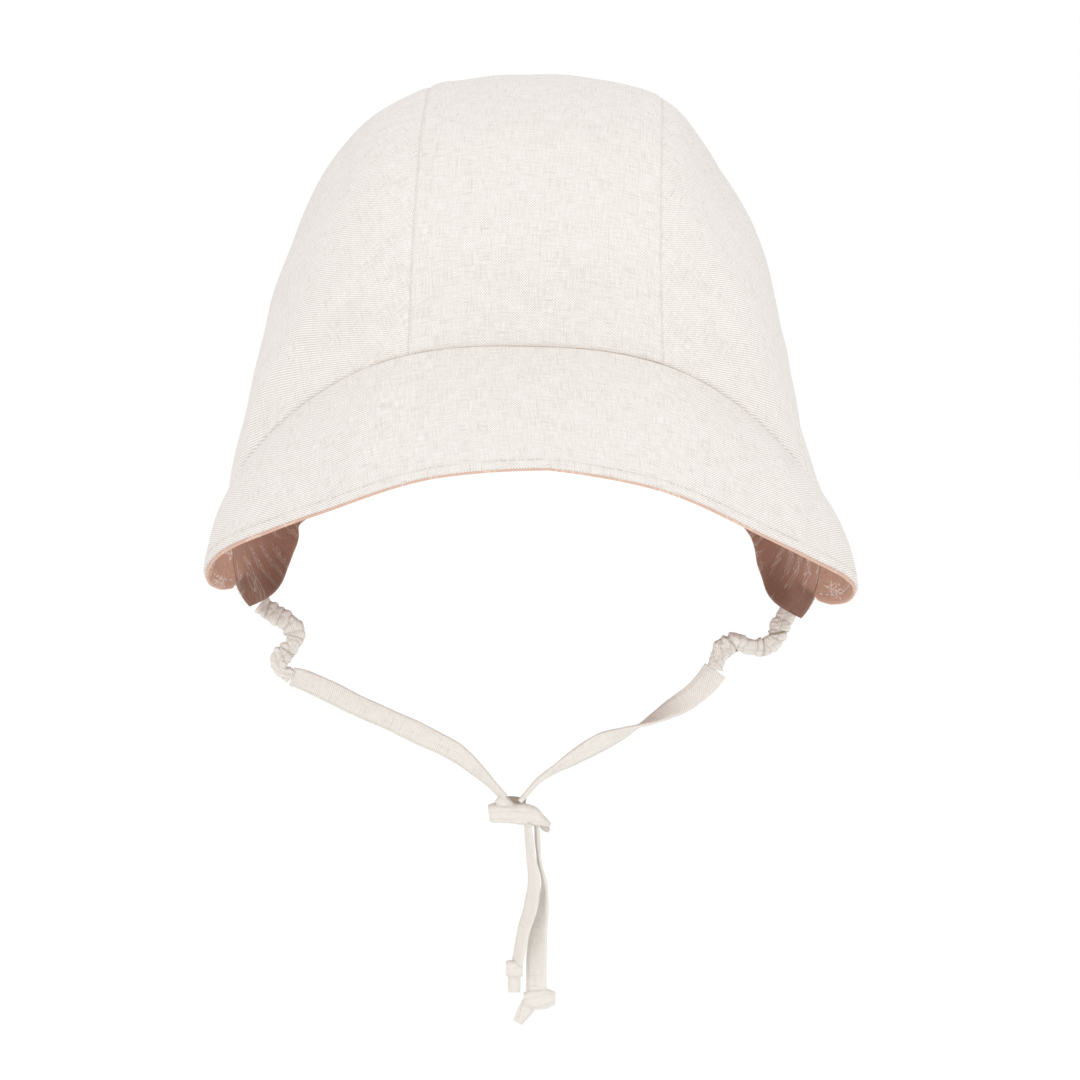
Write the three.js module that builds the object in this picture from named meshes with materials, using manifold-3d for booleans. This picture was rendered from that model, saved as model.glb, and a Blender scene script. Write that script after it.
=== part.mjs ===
// A baby sun bonnet: a crown of three cloth panels, a deep brim round the face, a full lining, and two chin
// ties that are gathered at the jaw, knotted together under the chin and knotted again at their ends.
// Millimetres, +Z up. The face opening looks along -Y, and left means -X, as seen from in front.
// The origin is where the top of the head touches the lining.
import * as THREE from "three";
import Module from "manifold-3d";

// Driving sizes
const CROWN_HEIGHT = 183; // top of the head down to the tips of the tie tabs
const CROWN_LENGTH = 180; // front seam to the back of the head
const CROWN_WIDTH = 206; // across the face seam at its widest
const PANEL_WIDTH = 87; // centre panel from seam to seam at the face
const TAB_LENGTH = 12; // stretch of the face edge below the brim, where a tie is sewn on
const BRIM_DEPTH = 60; // face seam to free edge over the forehead
const BRIM_CROWNING = 2.6; // how far the brim bows outwards between its two edges
const LEAN = 0.022; // slope by which the right side hangs lower than the left

const OUTER_WALL = 1.1; // outer cloth
const LINING_WALL = 1; // lining cloth
const LAYER_GAP = 0.3; // between the outer cloth and the lining
const SEAM_GAP = 0.3; // between two panels that are sewn together
const LINING_ROLL = 0.9; // how far the brim's lining shows past the outer cloth

const TIE_WIDTH = 7.6; // flat tie
const TIE_THICKNESS = 1.6;
const TIE_DROP = 151; // tips of the tie tabs down to the lowest end
const GATHER_WIDTH = 6.3; // elasticated, ruffled start of a tie
const GATHER_THICKNESS = 3.4;
const GATHER_RUFFLES = 9;
const RUFFLE_DEPTH = 0.12; // as a share of the gather's width and thickness
const KNOT_DEPTH = 6.4; // of the chin knot, front to back
const END_KNOT_DEPTH = 4.2;

// Arches across the crown, from the face seam (along 0) to the nape (along 1).
// Back and drop place the arch's top and its ends on the neck edge, as shares of CROWN_LENGTH and CROWN_HEIGHT.
// Left and right are its half widths, as shares of CROWN_WIDTH, and tuck is how far its ends turn in.
// Seam left and seam right run from the middle to the panel seams, as shares of PANEL_WIDTH.
const ARCHES = [
  { along: 0.0, topBack: -0.478, topDrop: 0.457, neckBack: -0.278, neckDrop: 1.005,
    left: 0.521, right: 0.5, tuck: 0.06, seamLeft: 0.485, seamRight: 0.53 },
  { along: 0.04, topBack: -0.466, topDrop: 0.382, neckBack: -0.251, neckDrop: 0.992,
    left: 0.521, right: 0.498, tuck: 0.126, seamLeft: 0.48, seamRight: 0.528 },
  { along: 0.109, topBack: -0.439, topDrop: 0.254, neckBack: -0.2, neckDrop: 0.983,
    left: 0.522, right: 0.495, tuck: 0.156, seamLeft: 0.47, seamRight: 0.525 },
  { along: 0.237, topBack: -0.278, topDrop: 0.073, neckBack: -0.111, neckDrop: 0.97,
    left: 0.514, right: 0.488, tuck: 0.156, seamLeft: 0.45, seamRight: 0.53 },
  { along: 0.387, topBack: 0.0, topDrop: 0.0, neckBack: -0.011, neckDrop: 0.965,
    left: 0.508, right: 0.482, tuck: 0.152, seamLeft: 0.43, seamRight: 0.54 },
  { along: 0.521, topBack: 0.25, topDrop: 0.057, neckBack: 0.067, neckDrop: 0.955,
    left: 0.49, right: 0.47, tuck: 0.13, seamLeft: 0.43, seamRight: 0.52 },
  { along: 0.662, topBack: 0.444, topDrop: 0.243, neckBack: 0.133, neckDrop: 0.935,
    left: 0.463, right: 0.435, tuck: 0.08, seamLeft: 0.43, seamRight: 0.49 },
  { along: 0.795, topBack: 0.517, topDrop: 0.483, neckBack: 0.189, neckDrop: 0.91,
    left: 0.41, right: 0.4, tuck: 0.07, seamLeft: 0.42, seamRight: 0.45 },
  { along: 0.917, topBack: 0.506, topDrop: 0.713, neckBack: 0.228, neckDrop: 0.89,
    left: 0.36, right: 0.355, tuck: 0.03, seamLeft: 0.4, seamRight: 0.42 },
  { along: 1.0, topBack: 0.456, topDrop: 0.86, neckBack: 0.25, neckDrop: 0.875,
    left: 0.325, right: 0.325, tuck: 0.0, seamLeft: 0.38, seamRight: 0.39 },
];
const ARCH_SQUARE_ACROSS = 2.6; // superellipse exponents of an arch
const ARCH_SQUARE_UP = 2.2;
const TUCK_POWER = 14; // how suddenly an arch's ends turn in
const ARCH_STEPS = 320;
const TAB_BACK = ARCHES[0].neckBack * CROWN_LENGTH; // where the tips of the tie tabs are
const TAB_TIP = -ARCHES[0].neckDrop * CROWN_HEIGHT;
const SECTION_POINTS = 8; // of a tie, round a superellipse
const SECTION_SQUARE = 3.4;

// Ribs of the brim, from the middle of the face seam (along 0) to the brim's end above the tie tab (along 1).
// Out, forward and down go from the seam to the free edge, as shares of BRIM_DEPTH, and bow is a share of
// BRIM_CROWNING.
const BRIM_RIBS = [
  { along: 0.0, out: 0.0, forward: 0.817, down: 0.525, bow: 1.0 },
  { along: 0.2, out: 0.06, forward: 0.783, down: 0.575, bow: 1.1 },
  { along: 0.4, out: 0.108, forward: 0.724, down: 0.62, bow: 1.5 },
  { along: 0.55, out: 0.16, forward: 0.638, down: 0.555, bow: 2.1 },
  { along: 0.7, out: 0.23, forward: 0.495, down: 0.42, bow: 2.6 },
  { along: 0.82, out: 0.22, forward: 0.29, down: 0.3, bow: 2.3 },
  { along: 0.9, out: 0.17, forward: 0.149, down: 0.215, bow: 1.4 },
  { along: 0.96, out: 0.09, forward: 0.07, down: 0.12, bow: 1.0 },
  { along: 1.0, out: 0.03, forward: 0.02, down: 0.03, bow: 1.0 },
];
const BRIM_SWING = 0.13; // how far the free edge is swung to the right, as a share of its reach forward
const BRIM_TILT = 0.13; // how much lower its right side hangs, as a share of its reach forward

// Dents and soft folds of the crown. Along runs from face seam to nape, and across is a share of the arch from
// the middle (0) to the neck edge (-1 left, 1 right). Long and wide are the dent's reach in the same shares, and
// depth is a share of DENT_DEPTH, inwards.
const DENT_DEPTH = 4;
const DENTS = [
  { along: 0.045, across: -0.36, long: 0.035, wide: 0.1, depth: 0.7 },
  { along: 0.13, across: -0.3, long: 0.05, wide: 0.06, depth: 0.35 },
  { along: 0.1, across: 0.32, long: 0.03, wide: 0.07, depth: 0.7 },
  { along: 0.04, across: 0.37, long: 0.03, wide: 0.08, depth: 0.45 },
  { along: 0.36, across: 0.215, long: 0.2, wide: 0.08, depth: -1.0 },
  { along: 0.3, across: 0.43, long: 0.2, wide: 0.1, depth: -0.65 },
  { along: 0.36, across: -0.08, long: 0.2, wide: 0.09, depth: 0.3 },
  { along: 0.36, across: -0.31, long: 0.2, wide: 0.1, depth: -0.4 },
  { along: 0.0, across: -0.68, long: 0.12, wide: 0.18, depth: -1.1 },
  { along: 0.0, across: 0.72, long: 0.1, wide: 0.18, depth: -1.4 },
];

// The ties hang from the tips of the tie tabs. Out is measured from the middle of the bonnet to the right, as a
// share of CROWN_WIDTH, down from the tips as a share of TIE_DROP and forward from them as a share of TIE_WIDTH.
// Wide and thick are shares of the piece's own width and thickness, and turn is the twist in degrees: a tie
// shows its face to the front at 0 and its edge at 90.
const LEFT_GATHER = [
  { out: -0.468, down: -0.014, forward: -0.32, wide: 1.1, thick: 0.75, turn: -45 },
  { out: -0.444, down: 0.008, forward: -0.2, wide: 1.15, thick: 0.95, turn: -30 },
  { out: -0.423, down: 0.023, forward: -0.07, wide: 1.0, thick: 1.1, turn: -10 },
  { out: -0.41, down: 0.048, forward: 0.0, wide: 1.2, thick: 1.1, turn: 5 },
  { out: -0.413, down: 0.077, forward: 0.0, wide: 0.82, thick: 0.9, turn: -20 },
  { out: -0.426, down: 0.096, forward: 0.06, wide: 1.1, thick: 1.1, turn: 10 },
  { out: -0.437, down: 0.115, forward: 0.13, wide: 1.15, thick: 1.2, turn: 30 },
  { out: -0.434, down: 0.137, forward: 0.13, wide: 0.8, thick: 1.0, turn: 20 },
  { out: -0.42, down: 0.153, forward: 0.13, wide: 0.8, thick: 0.9, turn: 0 },
];
const RIGHT_GATHER = [
  { out: 0.446, down: 0.006, forward: -0.32, wide: 1.1, thick: 0.75, turn: 45 },
  { out: 0.432, down: 0.04, forward: -0.18, wide: 1.1, thick: 0.95, turn: 30 },
  { out: 0.424, down: 0.066, forward: -0.06, wide: 0.95, thick: 1.1, turn: 10 },
  { out: 0.405, down: 0.084, forward: 0.0, wide: 1.05, thick: 1.0, turn: 0 },
  { out: 0.379, down: 0.084, forward: 0.0, wide: 0.95, thick: 0.9, turn: -10 },
  { out: 0.358, down: 0.072, forward: 0.06, wide: 1.15, thick: 1.2, turn: -35 },
  { out: 0.337, down: 0.083, forward: 0.13, wide: 1.2, thick: 1.2, turn: 0 },
  { out: 0.325, down: 0.11, forward: 0.13, wide: 0.85, thick: 1.0, turn: 25 },
  { out: 0.321, down: 0.131, forward: 0.13, wide: 0.85, thick: 0.9, turn: 0 },
];
const LEFT_STRAP = [
  { out: -0.414, down: 0.156, forward: 0.13, wide: 0.95, thick: 1.1, turn: 0 },
  { out: -0.395, down: 0.164, forward: 0.13, wide: 1.03, thick: 1, turn: 0 },
  { out: -0.35, down: 0.192, forward: 0.19, wide: 1.05, thick: 1, turn: 0 },
  { out: -0.308, down: 0.221, forward: 0.26, wide: 1.05, thick: 1, turn: 0 },
  { out: -0.25, down: 0.256, forward: 0.39, wide: 1.03, thick: 1, turn: 0 },
  { out: -0.19, down: 0.294, forward: 0.52, wide: 1.05, thick: 1, turn: 0 },
  { out: -0.13, down: 0.336, forward: 0.65, wide: 0.98, thick: 1, turn: 10 },
  { out: -0.092, down: 0.38, forward: 0.72, wide: 0.8, thick: 1.1, turn: 30 },
  { out: -0.07, down: 0.41, forward: 0.78, wide: 0.66, thick: 1.2, turn: 45 },
  { out: -0.054, down: 0.434, forward: 0.78, wide: 0.55, thick: 1.25, turn: 50 },
];
const RIGHT_STRAP = [
  { out: 0.319, down: 0.143, forward: 0.13, wide: 1.22, thick: 1.1, turn: 0 },
  { out: 0.304, down: 0.17, forward: 0.19, wide: 1.18, thick: 1, turn: 0 },
  { out: 0.277, down: 0.204, forward: 0.26, wide: 1.03, thick: 1, turn: 10 },
  { out: 0.24, down: 0.235, forward: 0.32, wide: 1.0, thick: 1, turn: 50 },
  { out: 0.205, down: 0.261, forward: 0.39, wide: 1.0, thick: 1, turn: 86 },
  { out: 0.164, down: 0.287, forward: 0.46, wide: 1.0, thick: 1, turn: 130 },
  { out: 0.12, down: 0.313, forward: 0.52, wide: 1.0, thick: 1, turn: 160 },
  { out: 0.077, down: 0.346, forward: 0.65, wide: 0.95, thick: 1, turn: 150 },
  { out: 0.037, down: 0.38, forward: 0.72, wide: 0.75, thick: 1.1, turn: 125 },
  { out: 0.012, down: 0.404, forward: 0.78, wide: 0.66, thick: 1.2, turn: 110 },
  { out: -0.012, down: 0.442, forward: 0.78, wide: 0.62, thick: 1.25, turn: 100 },
];
const LEFT_TAIL = [
  { out: -0.005, down: 0.517, forward: 0.98, wide: 0.85, thick: 1.1, turn: 72 },
  { out: -0.002, down: 0.572, forward: 0.98, wide: 0.9, thick: 1.0, turn: 66 },
  { out: 0.005, down: 0.647, forward: 0.98, wide: 0.95, thick: 1, turn: 58 },
  { out: 0.0, down: 0.71, forward: 0.98, wide: 0.97, thick: 1, turn: 55 },
  { out: -0.014, down: 0.78, forward: 0.98, wide: 0.95, thick: 1, turn: 60 },
  { out: -0.023, down: 0.847, forward: 0.98, wide: 0.9, thick: 1.1, turn: 62 },
];
const RIGHT_TAIL = [
  { out: 0.01, down: 0.526, forward: 0.52, wide: 0.8, thick: 1.1, turn: 84 },
  { out: 0.014, down: 0.605, forward: 0.52, wide: 0.9, thick: 1, turn: 84 },
  { out: 0.023, down: 0.663, forward: 0.52, wide: 0.98, thick: 1, turn: 80 },
  { out: 0.021, down: 0.718, forward: 0.52, wide: 1, thick: 1, turn: 62 },
  { out: 0.014, down: 0.781, forward: 0.52, wide: 1, thick: 1, turn: 42 },
  { out: 0.01, down: 0.832, forward: 0.52, wide: 1, thick: 1, turn: 25 },
  { out: 0.009, down: 0.883, forward: 0.52, wide: 1, thick: 1, turn: 8 },
  { out: 0.009, down: 0.93, forward: 0.52, wide: 1, thick: 1, turn: 0 },
];
const CHIN_WRAP = [
  { out: -0.074, down: 0.484, forward: 0.78, wide: 0.8, thick: 0.6, turn: 0 },
  { out: -0.067, down: 0.483, forward: 0.78, wide: 0.88, thick: 0.85, turn: 0 },
  { out: -0.054, down: 0.482, forward: 0.78, wide: 0.94, thick: 0.95, turn: 0 },
  { out: -0.033, down: 0.483, forward: 0.78, wide: 0.99, thick: 1, turn: 0 },
  { out: -0.012, down: 0.486, forward: 0.78, wide: 1.03, thick: 1, turn: 0 },
  { out: 0.005, down: 0.493, forward: 0.78, wide: 0.85, thick: 0.9, turn: 0 },
  { out: 0.021, down: 0.504, forward: 0.78, wide: 0.47, thick: 0.65, turn: 0 },
  { out: 0.033, down: 0.513, forward: 0.78, wide: 0.19, thick: 0.4, turn: 0 },
];
const CHIN_LOOP = [
  { out: -0.057, down: 0.446, forward: 0.78, wide: 0.5, thick: 0.55, turn: 0 },
  { out: -0.052, down: 0.452, forward: 0.78, wide: 0.6, thick: 0.65, turn: 0 },
  { out: -0.045, down: 0.461, forward: 0.78, wide: 0.66, thick: 0.7, turn: 0 },
  { out: -0.036, down: 0.473, forward: 0.78, wide: 0.68, thick: 0.7, turn: 0 },
];
const CHIN_BACK = [
  { out: -0.05, down: 0.457, forward: 0.55, wide: 0.47, thick: 0.3, turn: 0 },
  { out: -0.033, down: 0.46, forward: 0.55, wide: 0.56, thick: 0.3, turn: 0 },
  { out: -0.01, down: 0.464, forward: 0.55, wide: 0.56, thick: 0.3, turn: 0 },
];
const CHIN_UNDER = [
  { out: 0.018, down: 0.51, forward: 0.65, wide: 0.28, thick: 0.5, turn: 0 },
  { out: 0.024, down: 0.521, forward: 0.65, wide: 0.33, thick: 0.5, turn: 0 },
  { out: 0.031, down: 0.529, forward: 0.65, wide: 0.19, thick: 0.35, turn: 0 },
];
const LEFT_END_WRAP = [
  { out: -0.045, down: 0.871, forward: 0.98, wide: 0.66, thick: 0.7, turn: 0 },
  { out: -0.039, down: 0.871, forward: 0.98, wide: 0.8, thick: 1, turn: 0 },
  { out: -0.027, down: 0.872, forward: 0.98, wide: 0.82, thick: 1, turn: 0 },
  { out: -0.015, down: 0.872, forward: 0.98, wide: 0.71, thick: 0.75, turn: 0 },
];
const LEFT_END_STUB = [
  { out: -0.029, down: 0.875, forward: 0.98, wide: 0.56, thick: 0.45, turn: 0 },
  { out: -0.03, down: 0.9, forward: 0.98, wide: 0.59, thick: 0.42, turn: 0 },
  { out: -0.03, down: 0.93, forward: 0.98, wide: 0.61, thick: 0.4, turn: 0 },
];
const RIGHT_END_WRAP = [
  { out: -0.012, down: 0.959, forward: 0.52, wide: 0.7, thick: 0.7, turn: 0 },
  { out: 0.0, down: 0.957, forward: 0.52, wide: 0.9, thick: 1, turn: 0 },
  { out: 0.017, down: 0.957, forward: 0.52, wide: 1.0, thick: 1.05, turn: 0 },
  { out: 0.032, down: 0.955, forward: 0.52, wide: 0.9, thick: 0.95, turn: 0 },
  { out: 0.043, down: 0.955, forward: 0.52, wide: 0.6, thick: 0.6, turn: 0 },
];
const RIGHT_END_STUB = [
  { out: 0.001, down: 0.954, forward: 0.52, wide: 0.71, thick: 0.6, turn: 0 },
  { out: -0.008, down: 0.98, forward: 0.52, wide: 0.71, thick: 0.5, turn: 0 },
  { out: -0.017, down: 1.0, forward: 0.52, wide: 0.64, thick: 0.45, turn: 0 },
  { out: -0.024, down: 1.016, forward: 0.52, wide: 0.52, thick: 0.4, turn: 0 },
];

/** The value of a table's column at a share along it, on a smooth curve through the rows. */
function columnAt(rows, column, along) {
  let i = 0;
  while (i < rows.length - 2 && rows[i + 1].along < along) i++;
  const slope = (k) => {
    const a = rows[Math.max(k - 1, 0)];
    const b = rows[Math.min(k + 1, rows.length - 1)];
    return (b[column] - a[column]) / (b.along - a.along);
  };
  const span = rows[i + 1].along - rows[i].along;
  const t = (along - rows[i].along) / span;
  const t2 = t * t;
  const t3 = t2 * t;
  return (
    rows[i][column] * (2 * t3 - 3 * t2 + 1) +
    slope(i) * span * (t3 - 2 * t2 + t) +
    rows[i + 1][column] * (3 * t2 - 2 * t3) +
    slope(i + 1) * span * (t3 - t2)
  );
}

/** Half of the crown's arch at a share along the crown, from its top to the neck edge: side is -1 or 1. */
const arches = new Map();
function archAt(along, side) {
  const key = along.toFixed(6) + side;
  if (arches.has(key)) return arches.get(key);
  const at = (column) => columnAt(ARCHES, column, along);
  const skin = OUTER_WALL + LAYER_GAP + LINING_WALL;
  const top = new THREE.Vector3(0, at("topBack") * CROWN_LENGTH, skin - at("topDrop") * CROWN_HEIGHT);
  const neck = new THREE.Vector3(0, at("neckBack") * CROWN_LENGTH, -at("neckDrop") * CROWN_HEIGHT);
  const half = side * at(side < 0 ? "left" : "right") * CROWN_WIDTH;
  const points = [];
  const lengths = [0];
  for (let i = 0; i <= ARCH_STEPS; i++) {
    const turn = ((Math.PI / 2) * i) / ARCH_STEPS;
    const rise = Math.cos(turn) ** (2 / ARCH_SQUARE_UP);
    const out = Math.sin(turn) ** (2 / ARCH_SQUARE_ACROSS) * (1 - at("tuck") * (1 - rise) ** TUCK_POWER);
    const point = neck.clone().lerp(top, rise).setX(half * out);
    point.z -= LEAN * point.x;
    points.push(point);
    if (i > 0) lengths.push(lengths[i - 1] + points[i].distanceTo(points[i - 1]));
  }
  const arch = { points, lengths, length: lengths[ARCH_STEPS] };
  arches.set(key, arch);
  return arch;
}

/** How deep the crown's dents are at a place on it. */
function dentAt(along, across) {
  return DENTS.reduce((sum, dent) => {
    const a = (along - dent.along) / dent.long;
    const b = (across - dent.across) / dent.wide;
    return sum + dent.depth * DENT_DEPTH * Math.exp(-(a * a + b * b));
  }, 0);
}

/** A point of the crown without its dents: across runs along the arch from -1 at the left neck edge to 1. */
function plainCrown(along, across) {
  const arch = archAt(along, across < 0 ? -1 : 1);
  const wanted = Math.abs(across) * arch.length;
  let i = 0;
  while (i < ARCH_STEPS - 1 && arch.lengths[i + 1] < wanted) i++;
  const t = (wanted - arch.lengths[i]) / (arch.lengths[i + 1] - arch.lengths[i]);
  return arch.points[i].clone().lerp(arch.points[i + 1], t);
}

/** The direction square to a surface at a place, from a short step each way inside its limits. */
function squareTo(surface, a, b, lowA, highA, lowB, highB) {
  const step = 0.008;
  const alongA = surface(Math.min(a + step, highA), b).sub(surface(Math.max(a - step, lowA), b));
  const alongB = surface(a, Math.min(b + step, highB)).sub(surface(a, Math.max(b - step, lowB)));
  return alongB.cross(alongA).normalize();
}

const crownNormal = (along, across) => squareTo(plainCrown, along, across, 0, 1, -1, 1);

/** A point of the crown's outside. */
function crownPoint(along, across) {
  return plainCrown(along, across).addScaledVector(crownNormal(along, across), -dentAt(along, across));
}

/** How far down the front edge the brim reaches, as a share of the arch on that side. */
const brimEnd = (side) => 1 - TAB_LENGTH / archAt(0, side).length;

/** A point of the brim's outside: along runs from -1 at its left end to 1, and out from the seam, 0, to 1. */
function brimPoint(along, out) {
  const side = along < 0 ? -1 : 1;
  const across = along * brimEnd(side);
  const at = (column) => columnAt(BRIM_RIBS, column, Math.abs(along)) * BRIM_DEPTH;
  const rib = new THREE.Vector3(side * at("out"), -at("forward"), -at("down") - BRIM_TILT * along * at("forward"));
  rib.x += BRIM_SWING * at("forward");
  const root = plainCrown(0, across);
  const crowning = columnAt(BRIM_RIBS, "bow", Math.abs(along)) * BRIM_CROWNING;
  const bow = (crowning * 4 * out * (1 - out) * rib.length()) / BRIM_DEPTH;
  const dent = dentAt(0, across) * (1 - out) ** 2;
  const outwards = new THREE.Vector3(root.x, 0, root.z + CROWN_HEIGHT).normalize();
  root.addScaledVector(rib, out).addScaledVector(outwards, bow);
  return root.addScaledVector(crownNormal(0, across), -dent);
}

const brimNormal = (along, out) => squareTo((a, b) => brimPoint(a, b), along, out, -1, 1, 0, 1);

/** The direction in which both cloths are set off at their common seam: halfway between their normals. */
function seamNormal(along) {
  const across = along * brimEnd(along < 0 ? -1 : 1);
  return crownNormal(0, across).add(brimNormal(along, 0.03)).normalize();
}

/** The crown's normal at its front edge: the seam's above the tie tab, and turning to its own down the tab. */
function frontNormal(across) {
  const side = across < 0 ? -1 : 1;
  const end = brimEnd(side);
  const share = Math.abs(across);
  if (share <= end) return seamNormal(across / end);
  return seamNormal(side).lerp(crownNormal(0, across), (share - end) / (1 - end)).normalize();
}

/** A closed wall between two skins, each a grid of points with rows and columns. */
function wallGeometry(outside, inside) {
  const rows = outside.length;
  const columns = outside[0].length;
  const positions = [...outside.flat(), ...inside.flat()].flatMap((p) => p.toArray());
  const outer = (r, c) => r * columns + c;
  const inner = (r, c) => rows * columns + r * columns + c;
  const index = [];
  const quad = (a, b, c, d) => index.push(a, b, c, a, c, d);
  for (let r = 0; r < rows - 1; r++) {
    for (let c = 0; c < columns - 1; c++) {
      quad(outer(r, c), outer(r, c + 1), outer(r + 1, c + 1), outer(r + 1, c));
      quad(inner(r, c), inner(r + 1, c), inner(r + 1, c + 1), inner(r, c + 1));
    }
    quad(outer(r, 0), outer(r + 1, 0), inner(r + 1, 0), inner(r, 0));
    quad(outer(r + 1, columns - 1), outer(r, columns - 1), inner(r, columns - 1), inner(r + 1, columns - 1));
  }
  for (let c = 0; c < columns - 1; c++) {
    quad(outer(0, c + 1), outer(0, c), inner(0, c), inner(0, c + 1));
    quad(outer(rows - 1, c), outer(rows - 1, c + 1), inner(rows - 1, c + 1), inner(rows - 1, c));
  }
  const geometry = new THREE.BufferGeometry();
  geometry.setAttribute("position", new THREE.Float32BufferAttribute(positions, 3));
  geometry.setIndex(index);
  geometry.computeVertexNormals();
  return geometry;
}

/** A panel of the crown: side is -1, 0 or 1, and depth is how far the layer lies under the outside. */
function crownPanel(side, depth, wall, alongSteps, acrossSteps) {
  const skins = [[], []];
  for (let r = 0; r <= alongSteps; r++) {
    const row = r / alongSteps;
    const seamShare = (end) =>
      (end * columnAt(ARCHES, end < 0 ? "seamLeft" : "seamRight", row) * PANEL_WIDTH) / archAt(row, end).length;
    const halfGap = SEAM_GAP / 2 / archAt(row, 1).length;
    const low = side === 1 ? seamShare(1) + halfGap : side === 0 ? seamShare(-1) + halfGap : -1;
    const high = side === -1 ? seamShare(-1) - halfGap : side === 0 ? seamShare(1) - halfGap : 1;
    const rows = [[], []];
    for (let c = 0; c <= acrossSteps; c++) {
      const across = low + ((high - low) * c) / acrossSteps;
      // the panel starts half a seam gap behind the face seam
      const start = (0.01 * SEAM_GAP) / 2 / plainCrown(0, across).distanceTo(plainCrown(0.01, across));
      const along = Math.max(row, start);
      const normal = r === 0 ? frontNormal(across) : crownNormal(along, across);
      rows[0].push(crownPoint(along, across).addScaledVector(normal, -depth));
      rows[1].push(crownPoint(along, across).addScaledVector(normal, -depth - wall));
    }
    skins[0].push(rows[0]);
    skins[1].push(rows[1]);
  }
  return wallGeometry(skins[0], skins[1]);
}

/** A layer of the brim, from the face seam to its free edge and roll past it. */
function brimLayer(depth, wall, roll, alongSteps, outSteps) {
  const skins = [[], []];
  for (let r = 0; r <= outSteps; r++) {
    const rows = [[], []];
    for (let c = 0; c <= alongSteps; c++) {
      const along = (2 * c) / alongSteps - 1;
      const ribLength = brimPoint(along, 1).distanceTo(brimPoint(along, 0));
      const start = SEAM_GAP / 2 / ribLength;
      const end = 1 + roll / ribLength;
      const out = start + ((end - start) * r) / outSteps;
      const normal = r === 0 ? seamNormal(along) : brimNormal(along, Math.min(out, 1));
      rows[0].push(brimPoint(along, out).addScaledVector(normal, -depth));
      rows[1].push(brimPoint(along, out).addScaledVector(normal, -depth - wall));
    }
    skins[0].push(rows[0]);
    skins[1].push(rows[1]);
  }
  return wallGeometry(skins[1], skins[0]);
}

/** A band swept along a table of tie sections: its width and thickness, and how often it is ruffled. */
function band(rows, width, thickness, steps, ruffles = 0) {
  const lengths = [0];
  const centre = (row) =>
    new THREE.Vector3(row.out * CROWN_WIDTH, TAB_BACK - row.forward * TIE_WIDTH, TAB_TIP - row.down * TIE_DROP);
  for (let i = 1; i < rows.length; i++) {
    lengths.push(lengths[i - 1] + centre(rows[i]).distanceTo(centre(rows[i - 1])));
  }
  const table = rows.map((row, i) => ({ ...row, along: lengths[i] / lengths[rows.length - 1] }));
  const at = (t) => {
    const row = {};
    for (const column of ["out", "down", "forward", "wide", "thick", "turn"]) {
      row[column] = columnAt(table, column, t);
    }
    return row;
  };
  const skins = [];
  for (let r = 0; r <= steps; r++) {
    const t = r / steps;
    const row = at(t);
    const middle = centre(row);
    const forwards = centre(at(Math.min(t + 0.01, 1)));
    const tangent = forwards.sub(centre(at(Math.max(t - 0.01, 0)))).normalize();
    const face = new THREE.Vector3(0, -1, 0);
    face.addScaledVector(tangent, -face.dot(tangent)).normalize();
    const turned = face.applyAxisAngle(tangent, THREE.MathUtils.degToRad(row.turn));
    const side = new THREE.Vector3().crossVectors(tangent, turned);
    const ruffle = 1 + RUFFLE_DEPTH * (ruffles ? Math.sin(2 * Math.PI * ruffles * t) : 0);
    skins.push(
      ring(SECTION_POINTS, SECTION_SQUARE).map(([a, b]) =>
        middle
          .clone()
          .addScaledVector(side, (a * row.wide * width * ruffle) / 2)
          .addScaledVector(turned, (b * row.thick * thickness * ruffle) / 2),
      ),
    );
  }
  return loft(skins);
}

/** The bands of one knot joined into one solid. */
const { Manifold, Mesh } = await Module().then((module) => (module.setup(), module));
function knot(bands) {
  const solids = bands.map((geometry) => {
    const vertProperties = new Float32Array(geometry.getAttribute("position").array);
    const triVerts = new Uint32Array(geometry.index.array);
    return new Manifold(new Mesh({ numProp: 3, vertProperties, triVerts }));
  });
  const mesh = Manifold.union(solids).getMesh();
  const geometry = new THREE.BufferGeometry();
  geometry.setAttribute("position", new THREE.BufferAttribute(mesh.vertProperties, 3));
  geometry.setIndex(new THREE.BufferAttribute(mesh.triVerts, 1));
  geometry.computeVertexNormals();
  return geometry;
}

/** Points round a superellipse of half axes 1. */
function ring(count, square) {
  return Array.from({ length: count }, (_, i) => {
    const turn = (2 * Math.PI * (i + 0.5)) / count;
    const soften = (v) => Math.sign(v) * Math.abs(v) ** (2 / square);
    return [soften(Math.cos(turn)), soften(Math.sin(turn))];
  });
}

/** A solid through rings of points, closed by a flat fan at both ends. */
function loft(rings) {
  const count = rings[0].length;
  const centreOf = (points) => points.reduce((sum, p) => sum.add(p), new THREE.Vector3()).divideScalar(count);
  const points = [...rings.flat(), centreOf(rings[0]), centreOf(rings[rings.length - 1])];
  const at = (r, c) => r * count + (c % count);
  const last = rings.length - 1;
  const index = [];
  for (let c = 0; c < count; c++) {
    for (let r = 0; r < last; r++) {
      index.push(at(r, c), at(r + 1, c + 1), at(r, c + 1), at(r, c), at(r + 1, c), at(r + 1, c + 1));
    }
    index.push(points.length - 2, at(0, c), at(0, c + 1));
    index.push(points.length - 1, at(last, c + 1), at(last, c));
  }
  const geometry = new THREE.BufferGeometry();
  geometry.setAttribute("position", new THREE.Float32BufferAttribute(points.flatMap((p) => p.toArray()), 3));
  geometry.setIndex(index);
  geometry.computeVertexNormals();
  return geometry;
}

const clothColour = "#f1ece7";
const tieColour = "#ebe3db";
const liningColour = "#b58672";

function cloth(name, geometry, colour) {
  const material = new THREE.MeshStandardMaterial({ color: colour, roughness: 0.92, metalness: 0 });
  const mesh = new THREE.Mesh(geometry, material);
  mesh.name = name;
  return mesh;
}

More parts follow.
